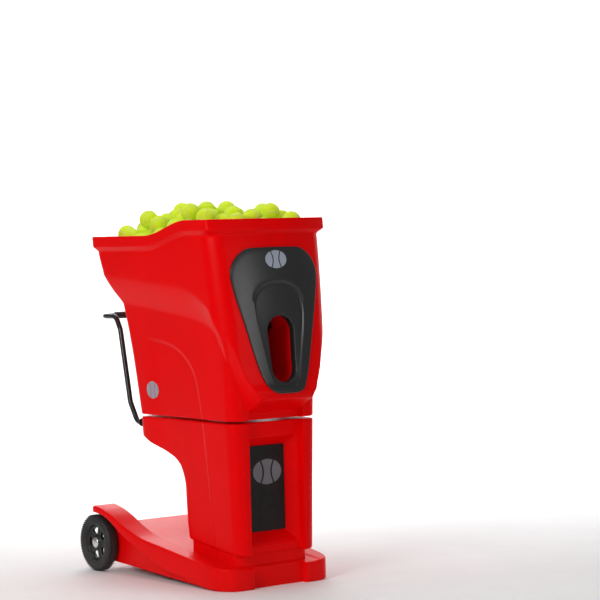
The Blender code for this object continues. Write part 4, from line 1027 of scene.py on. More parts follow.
# A generic mark: a ball drawn as three flat fields with its seams left out. place turns (across, up) into a
# point and an outward direction.
def ballMark(name, width, height, place, material, body, thick=0.0006, seam=0.055):
    rows, columns = 40, 12
    parts = []

    def fieldEdges(v):
        rim = math.sqrt(max(1 - v * v, 0))
        bend = min(0.58 - 0.30 * math.cos(v * math.pi * 0.42), rim)
        return [(-rim, -bend - seam), (-bend + seam, bend - seam), (bend + seam, rim)]

    for k in range(3):
        verts, faces, widths = [], [], []
        for i in range(rows + 1):
            v = math.sin(math.pi / 2 * (2 * i / rows - 1)) * 0.995
            a, b = fieldEdges(v)[k]
            if b - a < 0.01:
                continue
            widths.append(v)
            for lift in (thick, -0.0002):
                for j in range(columns + 1):
                    point, out = place((a + (b - a) * j / columns) * width / 2, v * height / 2)
                    verts.append(Vector(point) + Vector(out) * lift)
        stride = columns + 1
        for i in range(len(widths) - 1):
            top, low = i * 2 * stride, (i + 1) * 2 * stride
            for j in range(columns):
                faces.append((top + j, top + j + 1, low + j + 1, low + j))
                faces.append((top + stride + j + 1, top + stride + j, low + stride + j,
                              low + stride + j + 1))
            faces.append((top, low, low + stride, top + stride))
            faces.append((top + columns, top + stride + columns, low + stride + columns, low + columns))
        for i, order in ((0, 1), (len(widths) - 1, -1)):
            base = i * 2 * stride
            for j in range(columns):
                faces.append((base + j, base + j + 1, base + stride + j + 1, base + stride + j)[::order])
        parts.append(faceOut(newObject(name + str(k), verts, faces, material)))
    made = joined(name, parts)
    made.data.shade_smooth()
    sharpen(made, 30)
    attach(made, body)


# Middles of the marks: heights, and the flank's y.
markFacts = {"bezelZ": 1.118, "flankY": 0.098, "flankZ": 0.662, "insertZ": 0.388}


def onBezel(across, up):
    z = markFacts["bezelZ"] + up
    slope = 2 * bodyFacts["bow"] * across
    return (across, float(podFace(across, z)) - bezelFacts["thick"] - 0.0004,
            z), Vector((slope, -1, 0)).normalized()


def onFlank(across, up):
    y, z = markFacts["flankY"] - across, markFacts["flankZ"] + up
    x = float(lowHalf(z)) - bodyFacts["stepDepth"] * float(smoothStep((0.150 - y) / 0.12))
    return (-x, y, z), Vector((-1, 0, 0))


def onInsert(across, up):
    return (across, recessFloor - insertFace, markFacts["insertZ"] + up), Vector((0, -1, 0))


ballMark("markBezel", 0.088, 0.062, onBezel, finishes["badge"], "upper_body")
ballMark("markFlank", 0.070, 0.062, onFlank, finishes["badge"], "upper_body")
ballMark("markInsert", 0.120, 0.088, onInsert, finishes["badgeDark"], "base")
print("marks done")


# Wheels.

wheelFacts = {"radius": 0.1016, "inner": 0.071, "width": 0.041, "face": 0.2746, "y": 0.371, "spokes": 5,
              "treads": 60}


def buildWheel(name, side):
    w = wheelFacts
    half, outer, inner = w["width"] / 2, w["radius"], w["inner"]
    middle = side * (w["face"] - half)
    place = (middle, w["y"], w["radius"])
    # tyre: two grooves round the tread, rounded shoulders and a rib on each wall
    tread = [(inner, -half + 0.004, 0.0008), (inner + 0.005, -half + 0.0003, 0.002),
             (inner + 0.011, -half, 0.001), (inner + 0.0125, -half + 0.0012, 0.0004),
             (inner + 0.0145, -half + 0.0012, 0.0004), (inner + 0.016, -half, 0.001),
             (outer - 0.0085, -half + 0.0005, 0.004),
             (outer - 0.0012, -half + 0.009, 0.005), (outer, -0.0082, 0.0006),
             (outer - 0.0022, -0.0075, 0.0004), (outer - 0.0022, -0.0055, 0.0004), (outer, -0.0048, 0.0006)]
    profile = roundProfile(tread + [(r, -h, k) for r, h, k in tread[::-1]], 0.001, 4)
    tyre = turnedShape(name + "Tyre", profile, "X", place, finishes["tyre"], 144, 36)
    # short lugs across both shoulders
    lug = roundBar(name + "Lug", (-0.0045, -0.0022, -0.0012), (0.0045, 0.0022, 0.0008), 0.0007,
                   finishes["tyre"])
    places, turns = [], []
    for k in range(w["treads"]):
        a = 2 * math.pi * k / w["treads"]
        for edge, lag in ((-1, 0.0), (1, 0.5)):
            b = a + lag * 2 * math.pi / w["treads"]
            places.append((middle + edge * 0.0128, w["y"] - math.sin(b) * (outer - 0.0009),
                           w["radius"] + math.cos(b) * (outer - 0.0009)))
            turns.append((b, 0, 0))
    lugs = copiesOf(name + "Lugs", lug, places, turns, finishes["tyre"])
    tyre = joined(name + "Tyre", [tyre, lugs])
    sharpen(tyre, 36)
    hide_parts(name + "_tyre")
    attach(tyre, name)

    # rim: a dished disc between a hub and a flanged barrel
    rim = inner - 0.0003
    barrel = [(0.0064, -0.0195, 0.0008), (0.0155, -0.0195, 0.0015), (0.0185, -0.0065, 0.003),
              (rim - 0.012, -0.0045, 0.004),
              (rim - 0.0055, -half + 0.0045, 0.0012), (rim, -half + 0.0042, 0.0008),
              (rim, half - 0.0042, 0.0008),
              (rim - 0.0045, half - 0.0042, 0.0015), (rim - 0.0065, half - 0.008, 0.002),
              (rim - 0.0105, 0.0045, 0.004), (0.0300, 0.0045, 0.003),
              (0.0235, 0.0095, 0.003), (0.0225, 0.0118, 0.001), (0.0064, 0.0118, 0.0008)]
    if side < 0:
        barrel = [(r, -h, k) for r, h, k in barrel[::-1]]
    disc = turnedShape(name + "Rim", roundProfile(barrel, 0.001, 4), "X", place, finishes["rimBlack"], 144,
                       36)
    cutters = []
    for k in range(w["spokes"]):
        turn = 2 * math.pi * k / w["spokes"]
        wedge = 23 * math.pi / 180
        spread = [(0.0310, turn - wedge * 0.60), (0.0310, turn + wedge * 0.60), (0.0545, turn + wedge),
                  (0.0560, turn), (0.0545, turn - wedge)]
        outline = roundProfile([(r * math.cos(a), r * math.sin(a)) for r, a in spread], 0.006, 7)
        cutters.append(ringSkin("cutWindow",
                                [[(middle + x, w["y"] + u, w["radius"] + v) for u,
                                  v in outline] for x in (-0.05, 0.05)]))
    cutAway(disc, *cutters)
    rib = roundBar(name + "Rib", (-0.0022, -0.0013, -0.0165), (0.0028, 0.0013, 0.0165), 0.0009,
                   finishes["rimBlack"])
    spots, turns = [], []
    for k in range(w["spokes"]):
        a = 2 * math.pi * (k + 0.5) / w["spokes"]
        spots.append((middle + side * 0.0045, w["y"] + math.cos(a) * 0.0445,
                      w["radius"] + math.sin(a) * 0.0445))
        turns.append((a - math.pi / 2, 0, 0))
    ribbing = copiesOf(name + "Ribs", rib, spots, turns, finishes["rimBlack"])
    disc = joined(name + "Rim", [disc, ribbing])
    sharpen(disc, 36)
    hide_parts(name + "_rim")
    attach(disc, name)

    # hub cap: a shallow dome with a cross slot
    start = middle + side * 0.0123
    dome = [(0, 0), (0.019, 0.0), (0.019, 0.0012)]
    dome += [(0.019 * math.cos(a), 0.0012 + 0.0068 * math.sin(a)) for a in np.linspace(0.15,
                                                                                       math.pi / 2 - 0.02,
                                                                                       12)]
    dome.append((0, 0.0080))
    dome = [(max(r, 0.00002), side * h) for r, h in (dome if side > 0 else dome[::-1])]
    cap = turnedShape(name + "Cap", dome, "X", (start, w["y"], w["radius"]), finishes["zinc"], 72, 40)
    x0, x1 = sorted((start + side * 0.0055, start + side * 0.02))
    slots = [boxCutter("cutCross", (x0, w["y"] - a, w["radius"] - b), (x1, w["y"] + a, w["radius"] + b))
             for a, b in ((0.0085, 0.0013), (0.0013, 0.0085))]
    sharpen(cutAway(cap, *slots), 36)
    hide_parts(name + "_cap")
    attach(cap, name)


buildWheel("wheel_left", -1)
buildWheel("wheel_right", 1)
print("wheels done")


# Handle.

def bentRoute(points, radius, steps=10):
    route = [Vector(points[0])]
    for before, here, after in zip(points, points[1:], points[2:]):
        before, here, after = Vector(before), Vector(here), Vector(after)
        back, ahead = (before - here).normalized(), (after - here).normalized()
        half = back.angle(ahead) / 2
        reach = min(radius / math.tan(half), (before - here).length * 0.48, (after - here).length * 0.48)
        start, end = here + back * reach, here + ahead * reach
        for t in np.linspace(0, 1, steps + 1):
            route.append(start * (1 - t) ** 2 + here * 2 * t * (1 - t) + end * t * t)
    return route + [Vector(points[-1])]


def tubeAlong(name, route, radius, material, resolution=8):
    curve = bpy.data.curves.new(name, "CURVE")
    curve.dimensions = "3D"
    curve.bevel_depth = radius
    curve.bevel_resolution = resolution
    curve.use_fill_caps = True
    spline = curve.splines.new("POLY")
    spline.points.add(len(route) - 1)
    for target, point in zip(spline.points, route):
        target.co = (*point, 1)
    made = linked(name, curve)
    graph = bpy.context.evaluated_depsgraph_get()
    mesh = bpy.data.meshes.new_from_object(made.evaluated_get(graph))
    bpy.data.objects.remove(made)
    mesh.materials.clear()
    mesh.materials.append(material)
    made = faceOut(linked(name, mesh))
    mesh.shade_smooth()
    return sharpen(made, 40)


def buildHandle():
    h = handleFacts
    side = [(h["x"], y, z) for y, z in h["route"]]
    points = bentRoute(side + [(-x, y, z) for x, y, z in side[::-1]], h["bend"])
    tube = tubeAlong("handleTube", points, h["radius"], finishes["enamel"])
    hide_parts("handle_tube")
    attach(tube, "base")
    # rubber collars where the tube enters the column
    collars = []
    for x in (-h["x"], h["x"]):
        profile = roundProfile([(0.0098, 0.2030), (0.0150, 0.2030), (0.0145, 0.2075), (0.0115, 0.2105),
                                (0.0098, 0.2105)], 0.0012, 4)
        collars.append(turnedShape("collar", profile, "Y", (x, 0, h["route"][0][1]), finishes["blackCase"],
                                   40, 36))
    pair = joined("handleCollars", collars)
    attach(pair, "base")
    # grip sleeve round the cross bar, with raised rings
    half = h["gripHalf"]
    profile = [(0.0097, -half), (0.0118, -half)]
    for k in range(h["gripRings"]):
        x = h["firstRing"] + k * h["ringPitch"]
        profile += [(0.0122, x - 0.003), (0.0127, x - 0.0018), (0.0127, x + 0.0018), (0.0122, x + 0.003)]
    profile += [(0.0118, half), (0.0097, half)]
    grip = turnedShape("handleGrip", roundProfile(profile, 0.0006, 1), "X", (0, *h["route"][-1]),
                       finishes["tyre"], 40, 50)
    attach(grip, "base")


buildHandle()
print("handle done")


# Balls.

# the heap's half width by y
heapEdge = [(-0.312, 0.170), (-0.29, 0.196), (0.10, 0.198), (0.31, 0.194), (0.336, 0.175)]
ballFacts = {"radius": 0.0335, "subdivisions": 3, "seam": 0.00125, "layers": 2.3, "seed": 11, "most": 215}


def ballPiece(name):
    bm = bmesh.new()
    bmesh.ops.create_icosphere(bm, subdivisions=ballFacts["subdivisions"], radius=ballFacts["radius"])
    ball = fromBmesh(name, bm, [finishes["felt"]])
    ball.data.shade_smooth()
    return ball


# A flat ribbon that follows the seam of a tennis ball, just proud of the felt.
def seamPiece(name):
    r = ballFacts["radius"] + 0.00018
    half = ballFacts["seam"]
    steps = 72
    centre = []
    for k in range(steps):
        t = 2 * math.pi * k / steps
        a, b = 0.72, 0.28
        p = Vector((a * math.cos(t) + b * math.cos(3 * t), a * math.sin(t) - b * math.sin(3 * t),
                    2 * math.sqrt(a * b) * math.sin(2 * t)))
        centre.append(p.normalized())
    rings = []
    for k in range(steps):
        p = centre[k]
        ahead = (centre[(k + 1) % steps] - centre[k - 1]).normalized()
        across = p.cross(ahead).normalized()
        row = []
        for side, lift in ((-1, -0.0006), (-0.8, 0.00002), (0, 0.0001), (0.8, 0.00002), (1, -0.0006)):
            row.append((p + across * (side * half / r)).normalized() * (r + lift))
        rings.append(row)
    count = len(rings[0])
    verts = [p for row in rings for p in row]
    faces = [(k * count + i, k * count + i + 1, ((k + 1) % steps) * count + i + 1,
              ((k + 1) % steps) * count + i)
             for k in range(steps) for i in range(count - 1)]
    made = newObject(name, verts, faces, finishes["seam"])
    bm = bmesh.new()
    bm.from_mesh(made.data)
    for face in bm.faces:
        face.normal_update()
        if face.normal.dot(face.calc_center_median()) < 0:
            face.normal_flip()
    bm.to_mesh(made.data)
    bm.free()
    return made


# Height of the heap's surface.
def heapTop(x, y):
    share = np.clip((np.abs(x) / 0.226) ** 3 + (np.abs(y) / 0.365) ** 2.8, 0, 1)
    rim = 1.218 + 0.046 * smoothStep((0.06 - y) / 0.28)
    crown = 1.3295 - 0.024 * smoothStep((y - 0.05) / 0.22)
    return rim + (crown - rim) * (1 - share) ** 0.60


# Drops balls one by one into the lowest free spot under the heap's surface.
def heapPlaces():
    r = ballFacts["radius"]
    rng = np.random.default_rng(ballFacts["seed"])
    placed = np.empty((0, 3))
    podRearAt = np.vectorize(podRear)
    edgeY, edgeHalf = zip(*heapEdge)
    for _ in range(ballFacts["most"]):
        x = rng.uniform(-1, 1, 900)
        y = rng.uniform(edgeY[0], edgeY[-1], 900)
        x = x * np.interp(y, edgeY, edgeHalf)
        top = heapTop(x, y) - r
        floor = top - ballFacts["layers"] * r * 1.65
        z = floor.copy()
        if len(placed):
            gap = (x[:, None] - placed[:, 0]) ** 2 + (y[:, None] - placed[:, 1]) ** 2
            near = gap < (2 * r) ** 2
            rest = np.where(near, placed[:, 2] + np.sqrt(np.clip((2 * r) ** 2 - gap, 0, None)), -9.0)
            z = np.maximum(z, rest.max(axis=1))
        depth = top - z
        # the rear wall slopes, so a low ball keeps further forward
        depth[y + r > podRearAt(z - 0.01) - 0.006] = -1.0
        best = int(np.argmax(depth + rng.uniform(0, 0.004, len(depth))))
        if depth[best] < -0.006:
            break
        placed = np.vstack([placed, [x[best], y[best], z[best]]])
    return placed


def buildBalls():
    r = ballFacts["radius"]
    places = heapPlaces()
    top = heapTop(places[:, 0], places[:, 1]) - r
    upper = top - places[:, 2] < 0.030
    rng = random.Random(5)
    turns = [(rng.uniform(0, 6.3), rng.uniform(0, 6.3), rng.uniform(0, 6.3)) for _ in places]
    shown = np.flatnonzero(upper)
    hidden = np.flatnonzero(~upper)
    order = shown[np.argsort(places[shown, 1])]
    halves = [order[:len(order) // 2], order[len(order) // 2:]]
    for k, chosen in enumerate(halves):
        spots = places[chosen]
        spin = [turns[i] for i in chosen]
        felt = copiesOf("ballsUpper%d" % k, ballPiece("ballShown"), spots, spin, finishes["felt"])
        seams = copiesOf("seamsUpper%d" % k, seamPiece("ballSeam"), spots, spin, finishes["seam"])
        piece = joined("ballsFront" if k == 0 else "ballsRear", [felt, seams])
        piece.data.shade_smooth()
        if k == 0:
            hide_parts("ball_load")
        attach(piece, "ball_load")
    spin = [turns[i] for i in hidden]
    under = copiesOf("ballsUnder", ballPiece("ballHidden"), places[hidden], spin, finishes["felt"])
    under.data.shade_smooth()
    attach(under, "ball_load")
    print("balls:", len(shown), "on top and", len(hidden), "below")


def feltMaterial():
    material, tree, shader, place = startMaterial("ballFelt")
    fuzz = noiseNode(tree, place, 520.0, 4.0, 0.65)
    patch = noiseNode(tree, place, 26.0, 2.0)
    fibre = noiseNode(tree, place, 1500.0, 2.0)
    base = mixColour(tree, rangeNode(tree, fuzz, 0.3, 0.7), (0.56, 0.74, 0.004), (0.78, 0.95, 0.012))
    pale = mixColour(tree, rangeNode(tree, patch, 0.35, 0.7, 0.0, 0.35), base, (0.82, 1.0, 0.03))
    bump = bumpNode(tree, mathNode(tree, "ADD", fuzz, fibre), 0.5, 0.0008)
    for label, value in (("Base Color", pale), ("Roughness", 0.92), ("Sheen Weight", 0.55),
                         ("Sheen Roughness", 0.6), ("Sheen Tint", (0.85, 1.0, 0.25)), ("Normal", bump)):
        feed(tree, shader.inputs[label], value)
    return material


finishes["felt"] = feltMaterial()
finishes["seam"] = plasticMaterial("ballSeam", (0.66, 0.78, 0.30), None, (0.6, 0.75), (800, 0.2))
buildBalls()
print("balls done")


# Control panel.

panelFacts = {"z": 0.755, "tilt": 6.0, "y": 0.2775, "topHalf": 0.1047, "bottomHalf": 0.118,
              "height": 0.185, "corner": 0.019,
              "thick": 0.003, "depth": 0.085, "stand": 0.0022, "print": 0.00012,
              "display": (-0.0373, 0.0373, 0.0233, 0.0541)}
gridAcross = (-0.0493, 0.0, 0.0493)
gridUp = (-0.0112, -0.0364, -0.0616)
gridNames = (("narrow", "sweep", "high_arc"), ("medium", "depth", "low_arc"), ("wide", "random", "mirror"))


def panelMatrix():
    f = panelFacts
    t = math.radians(f["tilt"])
    turn = Matrix(((-1, 0, 0), (0, -math.sin(t), math.cos(t)), (0, math.cos(t), math.sin(t))))
    return Matrix.Translation((0, f["y"], f["z"])) @ turn.to_4x4()


# Moves a piece drawn in the panel's own frame to its place.
def onPanel(made, closed=False):
    made.data.transform(panelMatrix())
    return faceOut(made, closed)


def panelLoop(inset, steps=10):
    f = panelFacts
    half = f["height"] / 2 - inset
    top, bottom = f["topHalf"] - inset, f["bottomHalf"] - inset
    return roundProfile([(-bottom, -half), (bottom, -half), (top, half), (-top, half)],
                        max(f["corner"] - inset, 0.001), steps)


def ovalLoop(x, y, across, up, steps=40):
    turn = np.linspace(0, 2 * math.pi, steps, endpoint=False)
    return [(x + across * math.cos(a), y + up * math.sin(a)) for a in turn]


# A flat piece with an outline, from low to high, with its upper edge rounded if asked.
def slab(name, loop, low, high, material=None, edge=0.0):
    middle = np.mean(np.array(loop), axis=0)
    size = np.abs(np.array(loop) - middle).max()
    rings = [[(x, y, low) for x, y in loop]]
    if edge:
        for down, into in rolledEdge(edge, 4):
            k = 1 - into / size
            rings.append([(middle[0] + (x - middle[0]) * k, middle[1] + (y - middle[1]) * k,
                           high - down) for x, y in loop])
    else:
        rings.append([(x, y, high) for x, y in loop])
    return ringSkin(name, rings, material, sharp=40)


# Two crossed slots round a point, from low to high.
def crossCutters(x, y, long, thin, low, high):
    return [boxCutter("cutCross", (x - a, y - b, low), (x + a, y + b, high)) for a,
            b in ((long, thin), (thin, long))]


# A drawn line as a thin raised strip.
def strokePiece(name, points, width, material, high, closed=False):
    pts = [Vector(p) for p in points]
    left, right = [], []
    for i, p in enumerate(pts):
        before = pts[i - 1] if i or closed else p
        after = pts[(i + 1) % len(pts)] if i < len(pts) - 1 or closed else p
        ahead = (after - before).normalized()
        side = Vector((-ahead.y, ahead.x)) * width / 2
        left.append(p + side)
        right.append(p - side)
    base = high - panelFacts["print"] * 2
    rings = [[(a.x, a.y, base), (b.x, b.y, base), (b.x, b.y, high), (a.x, a.y, high)] for a,
             b in zip(left, right)]
    return ringSkin(name, rings, material, closed=closed, sharp=40)


keyColours = {"menu_up": "keyWhite", "menu_down": "keyWhite", "setting_plus": "keyWhite",
              "setting_minus": "keyWhite", "remote": "keyGreen",
              "power": "keyWhite", "play": "keyGrey", "manual": "keyGrey", "test": "keyGreen"}


roundKeys = {
    "menu_up": (-0.0519, 0.0517, 0.0075), "menu_down": (-0.0519, 0.0268, 0.0075),
    "setting_plus": (0.0519, 0.0517, 0.0075),
    "setting_minus": (0.0519, 0.0268, 0.0075), "remote": (-0.0955, -0.0337, 0.0083),
    "power": (-0.0972, -0.0639, 0.0083),
}
ovalKeys = {"play": (0.0930, -0.0172), "manual": (0.0950, -0.0440)}


# Each key's name, middle, outline about the middle and half height.
def keyShapes():
    found = []
    for name, (x, y, r) in roundKeys.items():
        found.append((name, (x, y), ovalLoop(0, 0, r, r), r))
    for row, y in enumerate(gridUp):
        for column, x in enumerate(gridAcross):
            found.append((gridNames[row][column], (x, y), ovalLoop(0, 0, 0.013, 0.006), 0.006))
    for name, middle in ovalKeys.items():
        found.append((name, middle, ovalLoop(0, 0, 0.0125, 0.0072), 0.0072))
    h = 0.0084
    found.append(("test", (0.0960, -0.0649), roundProfile(boxLoop(-h, -h, h, h), 0.0015, 5), h))
    return found


def dotLoops(spots, radius):
    return [("fill", ovalLoop(x, y, radius, radius, 16)) for x, y in spots]


def arcLine(cx, cy, radius, start, end, squash=1.0):
    return [(x, cy + (y - cy) * squash) for x, y in arcPoints(cx, cy, radius, start, end, 14)]


# What is printed on each key: filled shapes and lines about the key's middle, with their colour.
def keyDrawings():
    triangle = [(-0.0042, -0.0030), (0.0042, -0.0030), (0, 0.0042)]
    bar = boxLoop(-0.0036, -0.0009, 0.0036, 0.0009)
    upright = [(y, x) for x, y in bar[::-1]]
    power = [("line", arcLine(0, -0.0004, 0.0040, 130, 410), 0.0011),
             ("line", [(0, 0.0008), (0, 0.0050)], 0.0011)]
    return {
        "menu_up": ("keyRed", [("fill", triangle)]),
        "menu_down": ("keyRed", [("fill", [(x, -y) for x, y in triangle[::-1]])]),
        "setting_plus": ("keyRed", [("fill", bar), ("fill", upright)]),
        "setting_minus": ("keyRed", [("fill", bar)]), "power": ("keyRed", power),
        "remote": ("keyWhite", [("fill", boxLoop(-0.0018, -0.0048, 0.0018, 0.0016)),
                                ("line", arcLine(0, 0.0016, 0.0030, 30, 150), 0.0007),
                                ("line", arcLine(0, 0.0016, 0.0046, 30, 150), 0.0007)]),
        "narrow": ("keyWhite", dotLoops([(-0.0024, 0), (0.0024, 0)], 0.0013)),
        "medium": ("keyWhite", dotLoops([(-0.0042, 0), (0.0042, 0)], 0.0013)),
        "wide": ("keyWhite", dotLoops([(-0.0064, 0), (0.0064, 0)], 0.0013)),
        "sweep": ("keyWhite", dotLoops([(x, 0) for x in (-0.0072, -0.0036, 0, 0.0036, 0.0072)], 0.0011)),
        "depth": ("keyWhite", dotLoops([(0, y) for y in (-0.0034, 0, 0.0034)], 0.0010)),
        "random": ("keyWhite",
                   dotLoops([(-0.0070, 0.0016), (-0.0034, -0.0018), (0.0, 0.0022), (0.0040, -0.0012),
                             (0.0072, 0.0014)], 0.0010)),
        "high_arc": ("keyWhite",
                     [("line", arcLine(0, -0.0030, 0.0066, 20, 160),
                       0.0008)] + dotLoops([(0.0064, -0.0010)], 0.0011)),
        "low_arc": ("keyWhite",
                    [("line", arcLine(0, -0.0026, 0.0066, 20, 160, 0.45),
                      0.0008)] + dotLoops([(0.0064, -0.0014)], 0.0011)),
        "mirror": ("keyWhite",
                   [("line", arcLine(-0.0034, -0.0018, 0.0032, 20, 160), 0.0008),
                    ("line", arcLine(0.0034, -0.0018, 0.0032, 20, 160), 0.0008)]),
        "play": ("keyBlack", [("fill", [(-0.0052, -0.0030), (0.0004, 0.0), (-0.0052, 0.0030)]),
                              ("fill", boxLoop(0.0018, -0.0030, 0.0030, 0.0030)),
                              ("fill", boxLoop(0.0042, -0.0030, 0.0054, 0.0030))]),
        "manual": ("keyBlack",
                   [("line", [(-0.0050, -0.0016), (-0.0050, 0.0026), (-0.0018, 0.0026)],
                     0.0010)] + dotLoops([(0.0034, 0.0)], 0.0020)),
        "test": ("keyBlack",
                 [("line", arcLine(0, 0, 0.0046, 0, 345), 0.0009),
                  ("line", arcLine(-0.0048, 0, 0.0036, -55, 55), 0.0007),
                              ("line", arcLine(0.0048, 0, 0.0036, 125, 235), 0.0007)]),
    }


def buildKeys():
    f = panelFacts
    drawings = keyDrawings()
    for name, (x, y), loop, size in keyShapes():
        black = name not in keyColours
        parts = []
        placed = [(x + a, y + b) for a, b in loop]
        finish = finishes[keyColours.get(name, "keyBlack")]
        parts.append(slab("key", placed, -0.0088, f["stand"], finish, 0.0007))
        top = f["stand"] + f["print"]
        if black:
            outline = [(x + a * 0.88, y + b * 0.80) for a, b in loop]
            parts.append(strokePiece("ring", outline, 0.0005, finishes["keyWhite"], top, closed=True))
        colour, drawn = drawings[name]
        for item in drawn:
            points = [(x + a, y + b) for a, b in item[1]]
            if item[0] == "fill":
                parts.append(slab("mark", points, f["stand"] - f["print"], top, finishes[colour]))
            else:
                parts.append(strokePiece("mark", points, item[2], finishes[colour], top))
        key = sharpen(onPanel(joined("key_" + name, parts)), 40)
        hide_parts("button_" + name)
        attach(key, "key_" + name)


def buildPanel():
    f = panelFacts
    x0, x1, y0, y1 = f["display"]
    gap = 0.0004
    cutters = []
    for _, (x, y), loop, size in keyShapes():
        grown = [(x + a * (1 + gap / size), y + b * (1 + gap / size)) for a, b in loop]
        cutters.append(slab("cutKey", grown, -0.01, 0.01))
    cutters.append(slab("cutWindow", boxLoop(x0, y0, x1, y1, gap), -0.01, 0.01))
    cutters = joined("cutPanel", cutters)

    def pierced(made):
        copy = cutters.copy()
        scene.collection.objects.link(copy)
        return cutAway(made, copy)

    # silver face with a dark rim, and the black side fields
    rim = pierced(slab("panelRim", panelLoop(0.0002), -f["thick"], -0.0003, finishes["panelDark"], 0.0006))
    silver = pierced(slab("panelSilver", panelLoop(0.0030), -0.0012, 0.0, finishes["panelSilver"], 0.0003))
    sides = []
    for side in (-1, 1):
        outer = [p for p in panelLoop(0.0042, 8) if p[0] * side > 0.0792]
        outer.sort(key=lambda p: p[1])
        low, high = min(p[1] for p in outer), 0.052
        edge = [(p[0], p[1]) for p in outer if p[1] < high]
        inner = [(side * (0.0792 + 0.020 * float(smoothStep((y - 0.020) / 0.034)) ** 1.4),
                  y) for y in np.linspace(high, low, 22)]
        field = slab("sideField", edge + inner, -0.0002, f["print"], finishes["panelBlack"])
        sides.append(pierced(field))
    bpy.data.objects.remove(cutters)
    prints = []
    for side in (-1, 1):
        line = [(side * (0.0768 + 0.020 * float(smoothStep((y - 0.020) / 0.034)) ** 1.4),
                 y) for y in np.linspace(-0.086, 0.052, 26)]
        prints.append(strokePiece("sideLine", line, 0.0012, finishes["panelDark"], f["print"]))
    # display frame: a dark rounded ring round the window
    frameLoop = roundProfile(boxLoop(x0, y0, x1, y1, 0.0045), 0.004, 6)
    border = slab("displayBorder", frameLoop, -0.0002, 0.0004, finishes["panelDark"], 0.0003)
    cutAway(border, slab("cutBorder", boxLoop(x0, y0, x1, y1), -0.01, 0.01))
    prints.append(border)
    # dividers, underlines and short red bars where headings go
    for x in (-0.025, 0.025):
        prints.append(strokePiece("divider", [(x, -0.0050), (x, -0.0686)], 0.0007, finishes["panelDark"],
                                  f["print"]))
    for x in gridAcross:
        prints.append(strokePiece("heading", [(x - 0.011, 0.0048), (x + 0.011, 0.0048)], 0.0022,
                                  finishes["keyRed"], f["print"]))
        prints.append(strokePiece("underline", [(x - 0.0185, 0.0002), (x + 0.0185, 0.0002)], 0.0006,
                                  finishes["panelGrey"], f["print"]))
    for x in (-0.0519, 0.0519):
        prints.append(strokePiece("heading", [(x - 0.0080, 0.0650), (x + 0.0080, 0.0650)], 0.0020,
                                  finishes["keyRed"], f["print"]))
    prints.append(strokePiece("topBar", [(-0.050, 0.0765), (0.050, 0.0765)], 0.0030, finishes["keyRed"],
                              f["print"]))
    for x, y in ((0.0930, -0.0060), (0.0950, -0.0325), (0.0960, -0.0520), (-0.0955, -0.0205),
                 (-0.0972, -0.0515)):
        prints.append(strokePiece("caption", [(x - 0.0055, y), (x + 0.0055, y)], 0.0013,
                                  finishes["keyWhite"], 2 * f["print"]))
    # corner screws with a cross
    for x, y in ((-0.093, 0.0800), (0.093, 0.0800), (-0.0700, -0.0830), (0.0700, -0.0830)):
        head = slab("screw", ovalLoop(x, y, 0.0028, 0.0028, 28), -0.0002, 0.0012, finishes["zinc"], 0.0008)
        prints.append(cutAway(head, *crossCutters(x, y, 0.0018, 0.0003, 0.0007, 0.002)))
    face = onPanel(joined("panelFace", [rim, silver] + sides + prints))
    face.data.shade_smooth()
    sharpen(face, 35)
    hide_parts("panel_face")
    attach(face, "upper_body")

    # display glass with two rows of blank segments
    glass = slab("displayGlass", boxLoop(x0, y0, x1, y1), -f["thick"], -0.0006, finishes["display"])
    cells = []
    for row in range(2):
        for k in range(12):
            cx = x0 + 0.0062 + k * (x1 - x0 - 0.0124) / 11
            cy = y0 + (y1 - y0) * (0.30 + 0.40 * row)
            cell = boxLoop(cx - 0.0019, cy - 0.0040, cx + 0.0019, cy + 0.0040)
            cells.append(slab("cell", cell, -0.0008, -0.00054, finishes["displayCell"]))
    glass = onPanel(joined("displayGlass", [glass] + cells))
    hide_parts("display_window")
    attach(glass, "upper_body")

    # housing: a lip in front, a slight waist, and its back follows the body
    rings = []
    for z, inset in ((-0.0140, 0.0030), (-0.0042, 0.0030), (-0.0034, 0.0026), (-0.0033, 0.0016),
                     (-0.0040, 0.0005), (-0.0052, 0.0), (-0.0095, 0.0),
                     (-0.0108, 0.0010), (-0.0135, 0.0014), (-0.0300, 0.0012), (-f["depth"], 0.0)):
        rings.append([(x, y, z) for x, y in panelLoop(inset)])
    housing = onPanel(ringSkin("panelHousing", rings, finishes["blackCase"]), closed=True)
    levels = [0.58, 0.62, 0.66, 0.70, 0.74, 0.78, 0.82, 0.86, 0.90, 0.93]
    cutAway(housing, ringSkin("cutBody", [upperRing(z, -0.0006) for z in levels]))
    housing.data.shade_smooth()
    sharpen(housing, 35)
    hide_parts("panel_housing")
    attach(housing, "upper_body")


